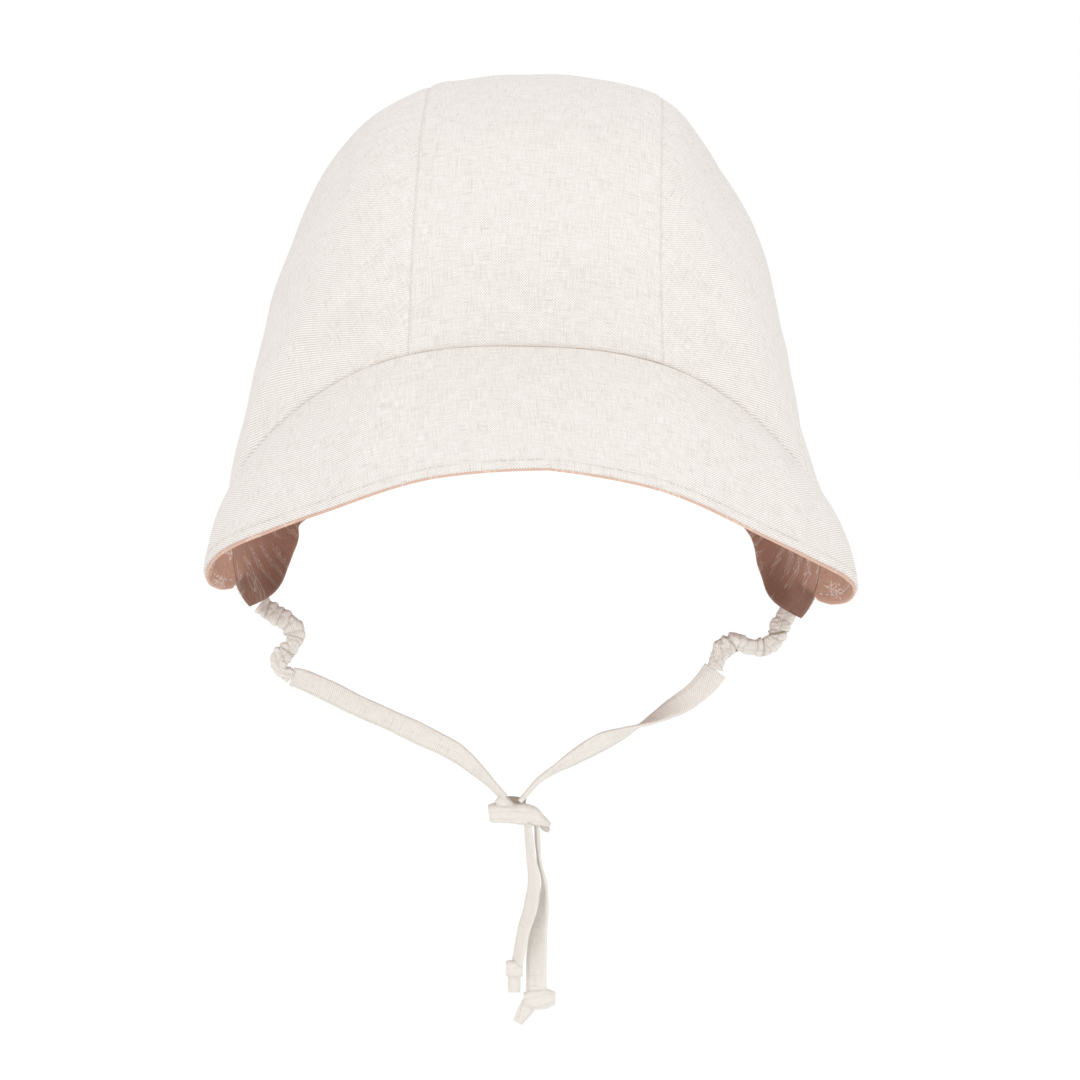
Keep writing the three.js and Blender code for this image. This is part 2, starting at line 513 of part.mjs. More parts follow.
const bonnet = new THREE.Group();
const liningDepth = OUTER_WALL + LAYER_GAP;

const crown = new THREE.Group();
crown.add(cloth("crown_centre", crownPanel(0, 0, OUTER_WALL, 24, 8), clothColour));
crown.add(cloth("crown_side_left", crownPanel(-1, 0, OUTER_WALL, 24, 9), clothColour));
crown.add(cloth("crown_side_right", crownPanel(1, 0, OUTER_WALL, 24, 9), clothColour));
bonnet.add(crown);

const lining = new THREE.Group();
lining.add(cloth("lining_centre", crownPanel(0, liningDepth, LINING_WALL, 24, 8), liningColour));
lining.add(cloth("lining_side_left", crownPanel(-1, liningDepth, LINING_WALL, 24, 9), liningColour));
lining.add(cloth("lining_side_right", crownPanel(1, liningDepth, LINING_WALL, 24, 9), liningColour));
bonnet.add(lining);

const brim = new THREE.Group();
brim.add(cloth("brim", brimLayer(0, OUTER_WALL, 0, 44, 5), clothColour));
brim.add(cloth("brim_lining", brimLayer(liningDepth, LINING_WALL, LINING_ROLL, 44, 5), liningColour));
bonnet.add(brim);

const ties = new THREE.Group();
const leftGather = band(LEFT_GATHER, GATHER_WIDTH, GATHER_THICKNESS, 36, GATHER_RUFFLES);
const rightGather = band(RIGHT_GATHER, GATHER_WIDTH, GATHER_THICKNESS, 36, GATHER_RUFFLES);
ties.add(cloth("tie_gather_left", leftGather, tieColour));
ties.add(cloth("tie_gather_right", rightGather, tieColour));
ties.add(cloth("tie_strap_left", band(LEFT_STRAP, TIE_WIDTH, TIE_THICKNESS, 22), tieColour));
ties.add(cloth("tie_strap_right", band(RIGHT_STRAP, TIE_WIDTH, TIE_THICKNESS, 26), tieColour));
ties.add(cloth("tie_tail_left", band(LEFT_TAIL, TIE_WIDTH, TIE_THICKNESS, 14), tieColour));
ties.add(cloth("tie_tail_right", band(RIGHT_TAIL, TIE_WIDTH, TIE_THICKNESS, 16), tieColour));
const chinKnot = [
  band(CHIN_WRAP, TIE_WIDTH, KNOT_DEPTH, 14),
  band(CHIN_LOOP, TIE_WIDTH, KNOT_DEPTH, 8),
  band(CHIN_BACK, TIE_WIDTH, KNOT_DEPTH, 4),
  band(CHIN_UNDER, TIE_WIDTH, KNOT_DEPTH, 6),
];
ties.add(cloth("chin_knot", knot(chinKnot), tieColour));
const leftEnd = [
  band(LEFT_END_WRAP, TIE_WIDTH, END_KNOT_DEPTH, 8),
  band(LEFT_END_STUB, TIE_WIDTH, END_KNOT_DEPTH, 4),
];
ties.add(cloth("tail_knot_left", knot(leftEnd), tieColour));
const rightEnd = [
  band(RIGHT_END_WRAP, TIE_WIDTH, END_KNOT_DEPTH, 8),
  band(RIGHT_END_STUB, TIE_WIDTH, END_KNOT_DEPTH, 6),
];
ties.add(cloth("tail_knot_right", knot(rightEnd), tieColour));
bonnet.add(ties);

export default bonnet;
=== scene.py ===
"""The looks of a baby sun bonnet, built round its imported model.

The crown, brim and ties are made from the same named sizes and tables as the solids, on finer grids, so each
piece lies where its solid does. Lengths in the tables and forms are millimetres, and MM turns them to metres.
The face opening looks along -Y, +Z is up, and left means -X, as seen from in front.
"""

from __future__ import annotations

import logging
import math
from dataclasses import dataclass, field
from enum import Enum
from typing import Any, Callable, Sequence

import bpy
import numpy as np
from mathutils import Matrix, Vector

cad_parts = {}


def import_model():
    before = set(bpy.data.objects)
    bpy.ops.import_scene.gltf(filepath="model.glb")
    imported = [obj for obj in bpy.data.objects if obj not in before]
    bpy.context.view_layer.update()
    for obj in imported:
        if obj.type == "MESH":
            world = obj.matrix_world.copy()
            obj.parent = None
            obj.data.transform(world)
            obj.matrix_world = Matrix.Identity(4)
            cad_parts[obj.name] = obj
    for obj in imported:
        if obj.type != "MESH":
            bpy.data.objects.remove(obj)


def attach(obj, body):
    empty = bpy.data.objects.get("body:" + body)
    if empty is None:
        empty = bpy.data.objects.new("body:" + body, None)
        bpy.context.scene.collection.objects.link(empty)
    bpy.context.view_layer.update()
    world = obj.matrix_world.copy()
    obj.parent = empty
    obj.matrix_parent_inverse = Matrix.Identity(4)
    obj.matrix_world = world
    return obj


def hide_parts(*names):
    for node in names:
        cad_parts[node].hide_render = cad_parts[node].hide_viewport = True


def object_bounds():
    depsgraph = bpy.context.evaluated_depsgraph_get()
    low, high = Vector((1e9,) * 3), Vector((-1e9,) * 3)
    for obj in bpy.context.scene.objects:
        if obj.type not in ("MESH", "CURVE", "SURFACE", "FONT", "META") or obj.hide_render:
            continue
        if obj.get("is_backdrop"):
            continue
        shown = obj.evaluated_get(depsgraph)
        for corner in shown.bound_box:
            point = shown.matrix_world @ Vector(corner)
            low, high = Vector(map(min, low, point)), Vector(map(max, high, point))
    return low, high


LOG = logging.getLogger("bonnet")
MM = 0.001

# Driving sizes, as in the solids
CROWN_HEIGHT = 183.0
CROWN_LENGTH = 180.0
CROWN_WIDTH = 206.0
PANEL_WIDTH = 87.0
TAB_LENGTH = 12.0
BRIM_DEPTH = 60.0
BRIM_CROWNING = 2.6
LEAN = 0.022
OUTER_WALL = 1.1
LINING_WALL = 1.0
LAYER_GAP = 0.3
LINING_ROLL = 0.9
TIE_WIDTH = 7.6
TIE_THICKNESS = 1.6
TIE_DROP = 151.0
GATHER_WIDTH = 6.3
GATHER_THICKNESS = 3.4
KNOT_DEPTH = 6.4
END_KNOT_DEPTH = 4.2
DENT_DEPTH = 4.0
BRIM_SWING = 0.13
BRIM_TILT = 0.13
ARCH_SQUARE_ACROSS = 2.6
ARCH_SQUARE_UP = 2.2
TUCK_POWER = 14.0
ARCH_STEPS = 320
SECTION_SQUARE = 3.4

# Sizes of the finer forms, which only this script has
SLOPE_STEP = 0.008
SECTION_STEPS = 720
SEAM_DIP = 0.28
SEAM_REACH = 0.4
LINING_SEAM_DIP = 0.45
# Painted shade in the lining's seams, and how far painted shade reaches from a seam or the brim's stitching
LINING_SEAM_SHADE = 0.7
LINING_SHADE_REACH = 0.35
FOLD_RADIUS = 0.9
PUCKER_REACH = 4.0
SEAM_TURN = 8.0
PAST_THE_SEAM = 50.0
# Painted shade on the lining near its free edges on the tie tabs, where the inside lies in shade, and how far
# it reaches
TAB_SHADE = 0.62
TAB_SHADE_ACROSS = 20.0
TAB_SHADE_BACK = 60.0
STRAP_STITCH_AT = 0.78
STRAP_STITCH_REACH = 0.09
SMOOTH_BELOW = 50.0


class Side(Enum):
    """Which part of the bonnet a panel or tie belongs to."""

    LEFT = -1
    CENTRE = 0
    RIGHT = 1


@dataclass(frozen=True)
class Arch:
    """A section across the crown: shares of its length, height and width, as in the solids."""

    along: float
    top_back: float
    top_drop: float
    neck_back: float
    neck_drop: float
    left: float
    right: float
    tuck: float
    seam_left: float
    seam_right: float


@dataclass(frozen=True)
class Rib:
    """A rib of the brim from seam to free edge, in shares of the brim's depth."""

    along: float
    out: float
    forward: float
    down: float
    bow: float


@dataclass(frozen=True)
class Dent:
    """A dent or soft fold: its place, its reach and how deep it is as a share of DENT_DEPTH, inwards."""

    along: float
    across: float
    long: float
    wide: float
    depth: float


@dataclass(frozen=True)
class TieRow:
    """A section of a tie: its place, its width and thickness as shares, and its twist in degrees."""

    out: float
    down: float
    forward: float
    wide: float
    thick: float
    turn: float


ARCHES = (
    Arch(0.0, -0.478, 0.457, -0.278, 1.005, 0.521, 0.5, 0.06, 0.485, 0.53),
    Arch(0.04, -0.466, 0.382, -0.251, 0.992, 0.521, 0.498, 0.126, 0.48, 0.528),
    Arch(0.109, -0.439, 0.254, -0.2, 0.983, 0.522, 0.495, 0.156, 0.47, 0.525),
    Arch(0.237, -0.278, 0.073, -0.111, 0.97, 0.514, 0.488, 0.156, 0.45, 0.53),
    Arch(0.387, 0.0, 0.0, -0.011, 0.965, 0.508, 0.482, 0.152, 0.43, 0.54),
    Arch(0.521, 0.25, 0.057, 0.067, 0.955, 0.49, 0.47, 0.13, 0.43, 0.52),
    Arch(0.662, 0.444, 0.243, 0.133, 0.935, 0.463, 0.435, 0.08, 0.43, 0.49),
    Arch(0.795, 0.517, 0.483, 0.189, 0.91, 0.41, 0.4, 0.07, 0.42, 0.45),
    Arch(0.917, 0.506, 0.713, 0.228, 0.89, 0.36, 0.355, 0.03, 0.4, 0.42),
    Arch(1.0, 0.456, 0.86, 0.25, 0.875, 0.325, 0.325, 0.0, 0.38, 0.39),
)

RIBS = (
    Rib(0.0, 0.0, 0.817, 0.525, 1.0),
    Rib(0.2, 0.06, 0.783, 0.575, 1.1),
    Rib(0.4, 0.108, 0.724, 0.62, 1.5),
    Rib(0.55, 0.16, 0.638, 0.555, 2.1),
    Rib(0.7, 0.23, 0.495, 0.42, 2.6),
    Rib(0.82, 0.22, 0.29, 0.3, 2.3),
    Rib(0.9, 0.17, 0.149, 0.215, 1.4),
    Rib(0.96, 0.09, 0.07, 0.12, 1.0),
    Rib(1.0, 0.03, 0.02, 0.03, 1.0),
)

DENTS = (
    Dent(0.045, -0.36, 0.035, 0.1, 0.7),
    Dent(0.13, -0.3, 0.05, 0.06, 0.35),
    Dent(0.1, 0.32, 0.03, 0.07, 0.7),
    Dent(0.04, 0.37, 0.03, 0.08, 0.45),
    Dent(0.36, 0.215, 0.2, 0.08, -1.0),
    Dent(0.3, 0.43, 0.2, 0.1, -0.65),
    Dent(0.36, -0.08, 0.2, 0.09, 0.3),
    Dent(0.36, -0.31, 0.2, 0.1, -0.4),
    Dent(0.0, -0.68, 0.12, 0.18, -1.1),
    Dent(0.0, 0.72, 0.1, 0.18, -1.4),
)

LEFT_GATHER = (
    TieRow(-0.468, -0.014, -0.32, 1.1, 0.75, -45),
    TieRow(-0.444, 0.008, -0.2, 1.15, 0.95, -30),
    TieRow(-0.423, 0.023, -0.07, 1.0, 1.1, -10),
    TieRow(-0.41, 0.048, 0.0, 1.2, 1.1, 5),
    TieRow(-0.413, 0.077, 0.0, 0.82, 0.9, -20),
    TieRow(-0.426, 0.096, 0.06, 1.1, 1.1, 10),
    TieRow(-0.437, 0.115, 0.13, 1.15, 1.2, 30),
    TieRow(-0.434, 0.137, 0.13, 0.8, 1.0, 20),
    TieRow(-0.42, 0.153, 0.13, 0.8, 0.9, 0),
)
RIGHT_GATHER = (
    TieRow(0.446, 0.006, -0.32, 1.1, 0.75, 45),
    TieRow(0.432, 0.04, -0.18, 1.1, 0.95, 30),
    TieRow(0.424, 0.066, -0.06, 0.95, 1.1, 10),
    TieRow(0.405, 0.084, 0.0, 1.05, 1.0, 0),
    TieRow(0.379, 0.084, 0.0, 0.95, 0.9, -10),
    TieRow(0.358, 0.072, 0.06, 1.15, 1.2, -35),
    TieRow(0.337, 0.083, 0.13, 1.2, 1.2, 0),
    TieRow(0.325, 0.11, 0.13, 0.85, 1.0, 25),
    TieRow(0.321, 0.131, 0.13, 0.85, 0.9, 0),
)
LEFT_STRAP = (
    TieRow(-0.414, 0.156, 0.13, 0.95, 1.1, 0),
    TieRow(-0.395, 0.164, 0.13, 1.03, 1, 0),
    TieRow(-0.35, 0.192, 0.19, 1.05, 1, 0),
    TieRow(-0.308, 0.221, 0.26, 1.05, 1, 0),
    TieRow(-0.25, 0.256, 0.39, 1.03, 1, 0),
    TieRow(-0.19, 0.294, 0.52, 1.05, 1, 0),
    TieRow(-0.13, 0.336, 0.65, 0.98, 1, 10),
    TieRow(-0.092, 0.38, 0.72, 0.8, 1.1, 30),
    TieRow(-0.07, 0.41, 0.78, 0.66, 1.2, 45),
    TieRow(-0.054, 0.434, 0.78, 0.55, 1.25, 50),
)
RIGHT_STRAP = (
    TieRow(0.319, 0.143, 0.13, 1.22, 1.1, 0),
    TieRow(0.304, 0.17, 0.19, 1.18, 1, 0),
    TieRow(0.277, 0.204, 0.26, 1.03, 1, 10),
    TieRow(0.24, 0.235, 0.32, 1.0, 1, 50),
    TieRow(0.205, 0.261, 0.39, 1.0, 1, 86),
    TieRow(0.164, 0.287, 0.46, 1.0, 1, 130),
    TieRow(0.12, 0.313, 0.52, 1.0, 1, 160),
    TieRow(0.077, 0.346, 0.65, 0.95, 1, 150),
    TieRow(0.037, 0.38, 0.72, 0.75, 1.1, 125),
    TieRow(0.012, 0.404, 0.78, 0.66, 1.2, 110),
    TieRow(-0.012, 0.442, 0.78, 0.62, 1.25, 100),
)
LEFT_TAIL = (
    TieRow(-0.005, 0.517, 0.98, 0.85, 1.1, 72),
    TieRow(-0.002, 0.572, 0.98, 0.9, 1.0, 66),
    TieRow(0.005, 0.647, 0.98, 0.95, 1, 58),
    TieRow(0.0, 0.71, 0.98, 0.97, 1, 55),
    TieRow(-0.014, 0.78, 0.98, 0.95, 1, 60),
    TieRow(-0.023, 0.847, 0.98, 0.9, 1.1, 62),
)
RIGHT_TAIL = (
    TieRow(0.01, 0.526, 0.52, 0.8, 1.1, 84),
    TieRow(0.014, 0.605, 0.52, 0.9, 1, 84),
    TieRow(0.023, 0.663, 0.52, 0.98, 1, 80),
    TieRow(0.021, 0.718, 0.52, 1, 1, 62),
    TieRow(0.014, 0.781, 0.52, 1, 1, 42),
    TieRow(0.01, 0.832, 0.52, 1, 1, 25),
    TieRow(0.009, 0.883, 0.52, 1, 1, 8),
    TieRow(0.009, 0.93, 0.52, 1, 1, 0),
)
CHIN_WRAP = (
    TieRow(-0.074, 0.484, 0.78, 0.8, 0.6, 0),
    TieRow(-0.067, 0.483, 0.78, 0.88, 0.85, 0),
    TieRow(-0.054, 0.482, 0.78, 0.94, 0.95, 0),
    TieRow(-0.033, 0.483, 0.78, 0.99, 1, 0),
    TieRow(-0.012, 0.486, 0.78, 1.03, 1, 0),
    TieRow(0.005, 0.493, 0.78, 0.85, 0.9, 0),
    TieRow(0.021, 0.504, 0.78, 0.47, 0.65, 0),
    TieRow(0.033, 0.513, 0.78, 0.19, 0.4, 0),
)
CHIN_LOOP = (
    TieRow(-0.057, 0.446, 0.78, 0.5, 0.55, 0),
    TieRow(-0.052, 0.452, 0.78, 0.6, 0.65, 0),
    TieRow(-0.045, 0.461, 0.78, 0.66, 0.7, 0),
    TieRow(-0.036, 0.473, 0.78, 0.68, 0.7, 0),
)
CHIN_BACK = (
    TieRow(-0.05, 0.457, 0.55, 0.47, 0.3, 0),
    TieRow(-0.033, 0.46, 0.55, 0.56, 0.3, 0),
    TieRow(-0.01, 0.464, 0.55, 0.56, 0.3, 0),
)
CHIN_UNDER = (
    TieRow(0.018, 0.51, 0.65, 0.28, 0.5, 0),
    TieRow(0.024, 0.521, 0.65, 0.33, 0.5, 0),
    TieRow(0.031, 0.529, 0.65, 0.19, 0.35, 0),
)
LEFT_END_WRAP = (
    TieRow(-0.045, 0.871, 0.98, 0.66, 0.7, 0),
    TieRow(-0.039, 0.871, 0.98, 0.8, 1, 0),
    TieRow(-0.027, 0.872, 0.98, 0.82, 1, 0),
    TieRow(-0.015, 0.872, 0.98, 0.71, 0.75, 0),
)
LEFT_END_STUB = (
    TieRow(-0.029, 0.875, 0.98, 0.56, 0.45, 0),
    TieRow(-0.03, 0.9, 0.98, 0.59, 0.42, 0),
    TieRow(-0.03, 0.93, 0.98, 0.61, 0.4, 0),
)
RIGHT_END_WRAP = (
    TieRow(-0.012, 0.959, 0.52, 0.7, 0.7, 0),
    TieRow(0.0, 0.957, 0.52, 0.9, 1, 0),
    TieRow(0.017, 0.957, 0.52, 1.0, 1.05, 0),
    TieRow(0.032, 0.955, 0.52, 0.9, 0.95, 0),
    TieRow(0.043, 0.955, 0.52, 0.6, 0.6, 0),
)
RIGHT_END_STUB = (
    TieRow(0.001, 0.954, 0.52, 0.71, 0.6, 0),
    TieRow(-0.008, 0.98, 0.52, 0.71, 0.5, 0),
    TieRow(-0.017, 1.0, 0.52, 0.64, 0.45, 0),
    TieRow(-0.024, 1.016, 0.52, 0.52, 0.4, 0),
)


def unit(vectors: np.ndarray) -> np.ndarray:
    """The vectors of an array at length 1."""
    return vectors / np.maximum(np.linalg.norm(vectors, axis=-1, keepdims=True), 1e-12)


def smooth_step(low: float, high: float, values: np.ndarray) -> np.ndarray:
    """Values on a smooth ramp from 0 at low to 1 at high."""
    t = np.clip((values - low) / (high - low), 0.0, 1.0)
    return t * t * (3.0 - 2.0 * t)


def hermite(places: np.ndarray, values: np.ndarray, at: np.ndarray) -> np.ndarray:
    """A smooth curve through a table's values, as the solids use it.

    Args:
        places: Where the rows stand, rising.
        values: What the column holds there.
        at: Where the curve is wanted.

    Returns:
        The curve's value at each wanted place.
    """
    last = len(places) - 1
    before = np.maximum(np.arange(last + 1) - 1, 0)
    after = np.minimum(np.arange(last + 1) + 1, last)
    slopes = (values[after] - values[before]) / (places[after] - places[before])
    i = np.searchsorted(places[1:-1], at, side="left")
    span = places[i + 1] - places[i]
    t = (at - places[i]) / span
    t2, t3 = t * t, t * t * t
    return (
        values[i] * (2 * t3 - 3 * t2 + 1)
        + slopes[i] * span * (t3 - 2 * t2 + t)
        + values[i + 1] * (3 * t2 - 2 * t3)
        + slopes[i + 1] * span * (t3 - t2)
    )


def column_at(rows: Sequence[Any], column: str, at: np.ndarray | float) -> np.ndarray:
    """A named column of a table at shares along it."""
    places = np.array([row.along for row in rows])
    values = np.array([getattr(row, column) for row in rows], float)
    return hermite(places, values, np.asarray(at, float))


def running_length(points: np.ndarray, axis: int) -> np.ndarray:
    """The distance walked along one axis of a grid of points, from 0."""
    steps = np.linalg.norm(np.diff(points, axis=axis), axis=-1)
    start = np.zeros_like(np.take(steps, [0], axis=axis))
    return np.concatenate([start, np.cumsum(steps, axis=axis)], axis=axis)


def ripple(u: np.ndarray, v: np.ndarray, length: float, seed: int, waves: int = 7) -> np.ndarray:
    """Soft, irregular waves of about the given length, from -1 to 1.

    Args:
        u: First coordinate, in millimetres.
        v: Second coordinate, in millimetres.
        length: The waves' usual length in millimetres.
        seed: Which set of waves.
        waves: How many are added up.

    Returns:
        The height of the waves at each place.
    """
    draw = np.random.default_rng(seed)
    total = np.zeros(np.broadcast(u, v).shape)
    for _ in range(waves):
        heading = draw.uniform(0, 2 * math.pi)
        pitch = 2 * math.pi / (length * draw.uniform(0.7, 1.6))
        total += np.sin(pitch * (u * math.cos(heading) + v * math.sin(heading)) + draw.uniform(0, 6.28))
    return total / waves**0.5 / 1.4


def ends_first(count: int, crowding: float) -> np.ndarray:
    """Shares from 0 to 1, closer together towards both ends."""
    t = np.linspace(0, 1, count + 1)
    return t - crowding * np.sin(2 * math.pi * t) / (2 * math.pi)


def bell(away: np.ndarray, reach: float) -> np.ndarray:
    """A smooth bump: 1 at no distance, and about a third of it at the given reach."""
    return np.exp(-((away / reach) ** 2))


def turned_edge(away: np.ndarray, radius: float) -> np.ndarray:
    """How far a turned edge curls in at a distance from it."""
    share = np.clip(1 - away / radius, 0, 1)
    return radius * (1 - np.sqrt(1 - share * share))


def pucker(along: np.ndarray, away: np.ndarray, height: float, length: float, seed: int) -> np.ndarray:
    """The small waves that a seam draws into the cloth beside it.

    Args:
        along: Distances along the seam, in millimetres.
        away: Distances from it.
        height: The waves' height beside the seam.
        length: Their usual length.
        seed: Which set of waves.

    Returns:
        The height of the waves at each place.
    """
    waves = ripple(along, along * 0, length, seed)
    return height * np.exp(-away / PUCKER_REACH) * waves * smooth_step(0, 1, away)


@dataclass
class CrownForm:
    """The crown's outside, worked out from its arches and dents."""

    kept: dict[tuple[float, int], tuple[np.ndarray, np.ndarray]] = field(default_factory=dict)

    def arch(self, along: float, side: int) -> tuple[np.ndarray, np.ndarray]:
        """Half of an arch, from its top to the neck edge.

        Args:
            along: Share from the face seam to the nape.
            side: -1 for the left half and 1 for the right.

        Returns:
            The arch's points and the length walked to each.
        """
        key = (round(along, 7), side)
        if key in self.kept:
            return self.kept[key]

        def at(column: str) -> float:
            return float(column_at(ARCHES, column, along))

        skin = OUTER_WALL + LAYER_GAP + LINING_WALL
        top = np.array([0.0, at("top_back") * CROWN_LENGTH, skin - at("top_drop") * CROWN_HEIGHT])
        neck = np.array([0.0, at("neck_back") * CROWN_LENGTH, -at("neck_drop") * CROWN_HEIGHT])
        half = side * at("left" if side < 0 else "right") * CROWN_WIDTH
        turn = np.linspace(0, math.pi / 2, ARCH_STEPS + 1)
        rise = np.clip(np.cos(turn), 0, 1) ** (2 / ARCH_SQUARE_UP)
        out = np.sin(turn) ** (2 / ARCH_SQUARE_ACROSS) * (1 - at("tuck") * (1 - rise) ** TUCK_POWER)
        points = neck + (top - neck) * rise[:, None]
        points[:, 0] = half * out
        points[:, 2] -= LEAN * points[:, 0]
        self.kept[key] = (points, running_length(points, 0))
        return self.kept[key]

    def length(self, along: float, side: int) -> float:
        """The length of half an arch."""
        return float(self.arch(along, side)[1][-1])

    def plain(self, along: np.ndarray, across: np.ndarray) -> np.ndarray:
        """Points of the crown without its dents.

        Args:
            along: One share for each row.
            across: A row of shares for each of them, from -1 at the left neck edge to 1.

        Returns:
            A point for each place.
        """
        points = np.empty(across.shape + (3,))
        for r, share in enumerate(along):
            for side in (-1, 1):
                mine = (across[r] < 0) if side < 0 else (across[r] >= 0)
                if not mine.any():
                    continue
                line, walked = self.arch(float(share), side)
                wanted = np.abs(across[r][mine]) * walked[-1]
                points[r][mine] = np.stack([np.interp(wanted, walked, line[:, i]) for i in range(3)], axis=-1)
        return points

    def normals(self, along: np.ndarray, across: np.ndarray) -> np.ndarray:
        """The outward direction of the crown at each place."""
        ahead = self.plain(np.minimum(along + SLOPE_STEP, 1), across)
        behind = self.plain(np.maximum(along - SLOPE_STEP, 0), across)
        right = self.plain(along, np.minimum(across + SLOPE_STEP, 1))
        left = self.plain(along, np.maximum(across - SLOPE_STEP, -1))
        return unit(np.cross(right - left, ahead - behind))

    @staticmethod
    def dents(along: np.ndarray, across: np.ndarray) -> np.ndarray:
        """How deep the dents are at each place, in millimetres."""
        total = np.zeros(np.broadcast(along, across).shape)
        for dent in DENTS:
            a = (along - dent.along) / dent.long
            b = (across - dent.across) / dent.wide
            total += dent.depth * DENT_DEPTH * np.exp(-(a * a + b * b))
        return total


@dataclass
class BrimForm:
    """The brim's outside, worked out from its ribs and the crown's front edge."""

    crown: CrownForm

    def end(self, side: int) -> float:
        """How far down the crown's front edge the brim reaches, as a share of the arch."""
        return 1 - TAB_LENGTH / self.crown.length(0.0, side)

    def across(self, along: np.ndarray) -> np.ndarray:
        """The crown's share across at shares along the brim."""
        return along * np.where(along < 0, self.end(-1), self.end(1))

    def points(self, along: np.ndarray, out: np.ndarray) -> np.ndarray:
        """Points of the brim's outside.

        Args:
            along: Shares from -1 at its left end to 1, one for each column.
            out: Shares from the seam, 0, to the free edge, 1, one row of them for each row.

        Returns:
            A point for each place.
        """
        side = np.where(along < 0, -1.0, 1.0)
        away = np.abs(along)
        reach = {name: column_at(RIBS, name, away) * BRIM_DEPTH for name in ("out", "forward", "down")}
        rib = np.stack(
            [
                side * reach["out"] + BRIM_SWING * reach["forward"],
                -reach["forward"],
                -reach["down"] - BRIM_TILT * along * reach["forward"],
            ],
            axis=-1,
        )
        across = self.across(along)
        root = self.crown.plain(np.zeros(1), across[None])[0]
        length = np.linalg.norm(rib, axis=-1)
        crowning = column_at(RIBS, "bow", away) * BRIM_CROWNING
        bow = crowning * 4 * out * (1 - out) * length / BRIM_DEPTH
        outwards = unit(np.stack([root[:, 0], np.zeros(len(along)), root[:, 2] + CROWN_HEIGHT], axis=-1))
        dent = self.crown.dents(np.zeros(1), across)[None] * (1 - out) ** 2
        square = self.crown.normals(np.zeros(1), across[None])[0]
        return root + rib * out[..., None] + outwards * bow[..., None] - square * dent[..., None]

    def normals(self, along: np.ndarray, out: np.ndarray) -> np.ndarray:
        """The outward direction of the brim at each place."""
        right = self.points(np.minimum(along + SLOPE_STEP, 1), out)
        left = self.points(np.maximum(along - SLOPE_STEP, -1), out)
        far = self.points(along, np.minimum(out + SLOPE_STEP, 1))
        near = self.points(along, np.maximum(out - SLOPE_STEP, 0))
        return unit(np.cross(far - near, right - left))

    def seam_normals(self, along: np.ndarray) -> np.ndarray:
        """The direction in which both cloths are set off at the face seam."""
        crown = self.crown.normals(np.zeros(1), self.across(along)[None])[0]
        brim = self.normals(along, np.full((1, len(along)), 0.03))[0]
        return unit(crown + brim)

    def front_normals(self, across: np.ndarray) -> np.ndarray:
        """The crown's set-off direction at its front edge, turning to its own down the tie tab."""
        end = np.where(across < 0, self.end(-1), self.end(1))
        seam = self.seam_normals(np.clip(across / end, -1, 1))
        own = self.crown.normals(np.zeros(1), across[None])[0]
        turn = np.clip((np.abs(across) - end) / (1 - end), 0, 1)[:, None]
        return unit(seam * (1 - turn) + own * turn)


class Wire:
    """A value in a shader. Operators on it add Math nodes, so shader maths reads as an expression."""

    def __init__(self, shader: Shader, socket: Any) -> None:
        """Wraps a node's output socket."""
        self.shader = shader
        self.socket = socket

    def math(self, operation: str, *values: Wire | float) -> Wire:
        """A Math node of one operation on this value and others."""
        return self.shader.node("ShaderNodeMath", {"operation": operation}, self, *values)

    def __add__(self, other: Wire | float) -> Wire:
        """The sum."""
        return self.math("ADD", other)

    __radd__ = __add__

    def __sub__(self, other: Wire | float) -> Wire:
        """The difference."""
        return self.math("SUBTRACT", other)

    def __rsub__(self, other: float) -> Wire:
        """A number less this value."""
        return self.shader.node("ShaderNodeMath", {"operation": "SUBTRACT"}, other, self)

    def __mul__(self, other: Wire | float) -> Wire:
        """The product."""
        return self.math("MULTIPLY", other)

    __rmul__ = __mul__

    def __truediv__(self, other: Wire | float) -> Wire:
        """The quotient."""
        return self.math("DIVIDE", other)

    def __pow__(self, other: float) -> Wire:
        """The power."""
        return self.math("POWER", other)

    def __abs__(self) -> Wire:
        """The value without its sign."""
        return self.math("ABSOLUTE")

    def sine(self) -> Wire:
        """The sine of the value in radians."""
        return self.math("SINE")

    def cosine(self) -> Wire:
        """The cosine of the value in radians."""
        return self.math("COSINE")

    def floor(self) -> Wire:
        """The whole number below."""
        return self.math("FLOOR")

    def fraction(self) -> Wire:
        """What is left above the whole number below."""
        return self.math("FRACT")

    def below(self, limit: Wire | float) -> Wire:
        """1 where the value is under the limit, and 0 elsewhere."""
        return self.math("LESS_THAN", limit)

    def above(self, limit: Wire | float) -> Wire:
        """1 where the value is over the limit, and 0 elsewhere."""
        return self.math("GREATER_THAN", limit)

    def most(self, other: Wire | float) -> Wire:
        """The larger of two values."""
        return self.math("MAXIMUM", other)

    def ramp(self, low: float, high: float) -> Wire:
        """A smooth ramp from 0 at low to 1 at high."""
        settings = {"interpolation_type": "SMOOTHSTEP"}
        return self.shader.node("ShaderNodeMapRange", settings, self, low, high, 0.0, 1.0)


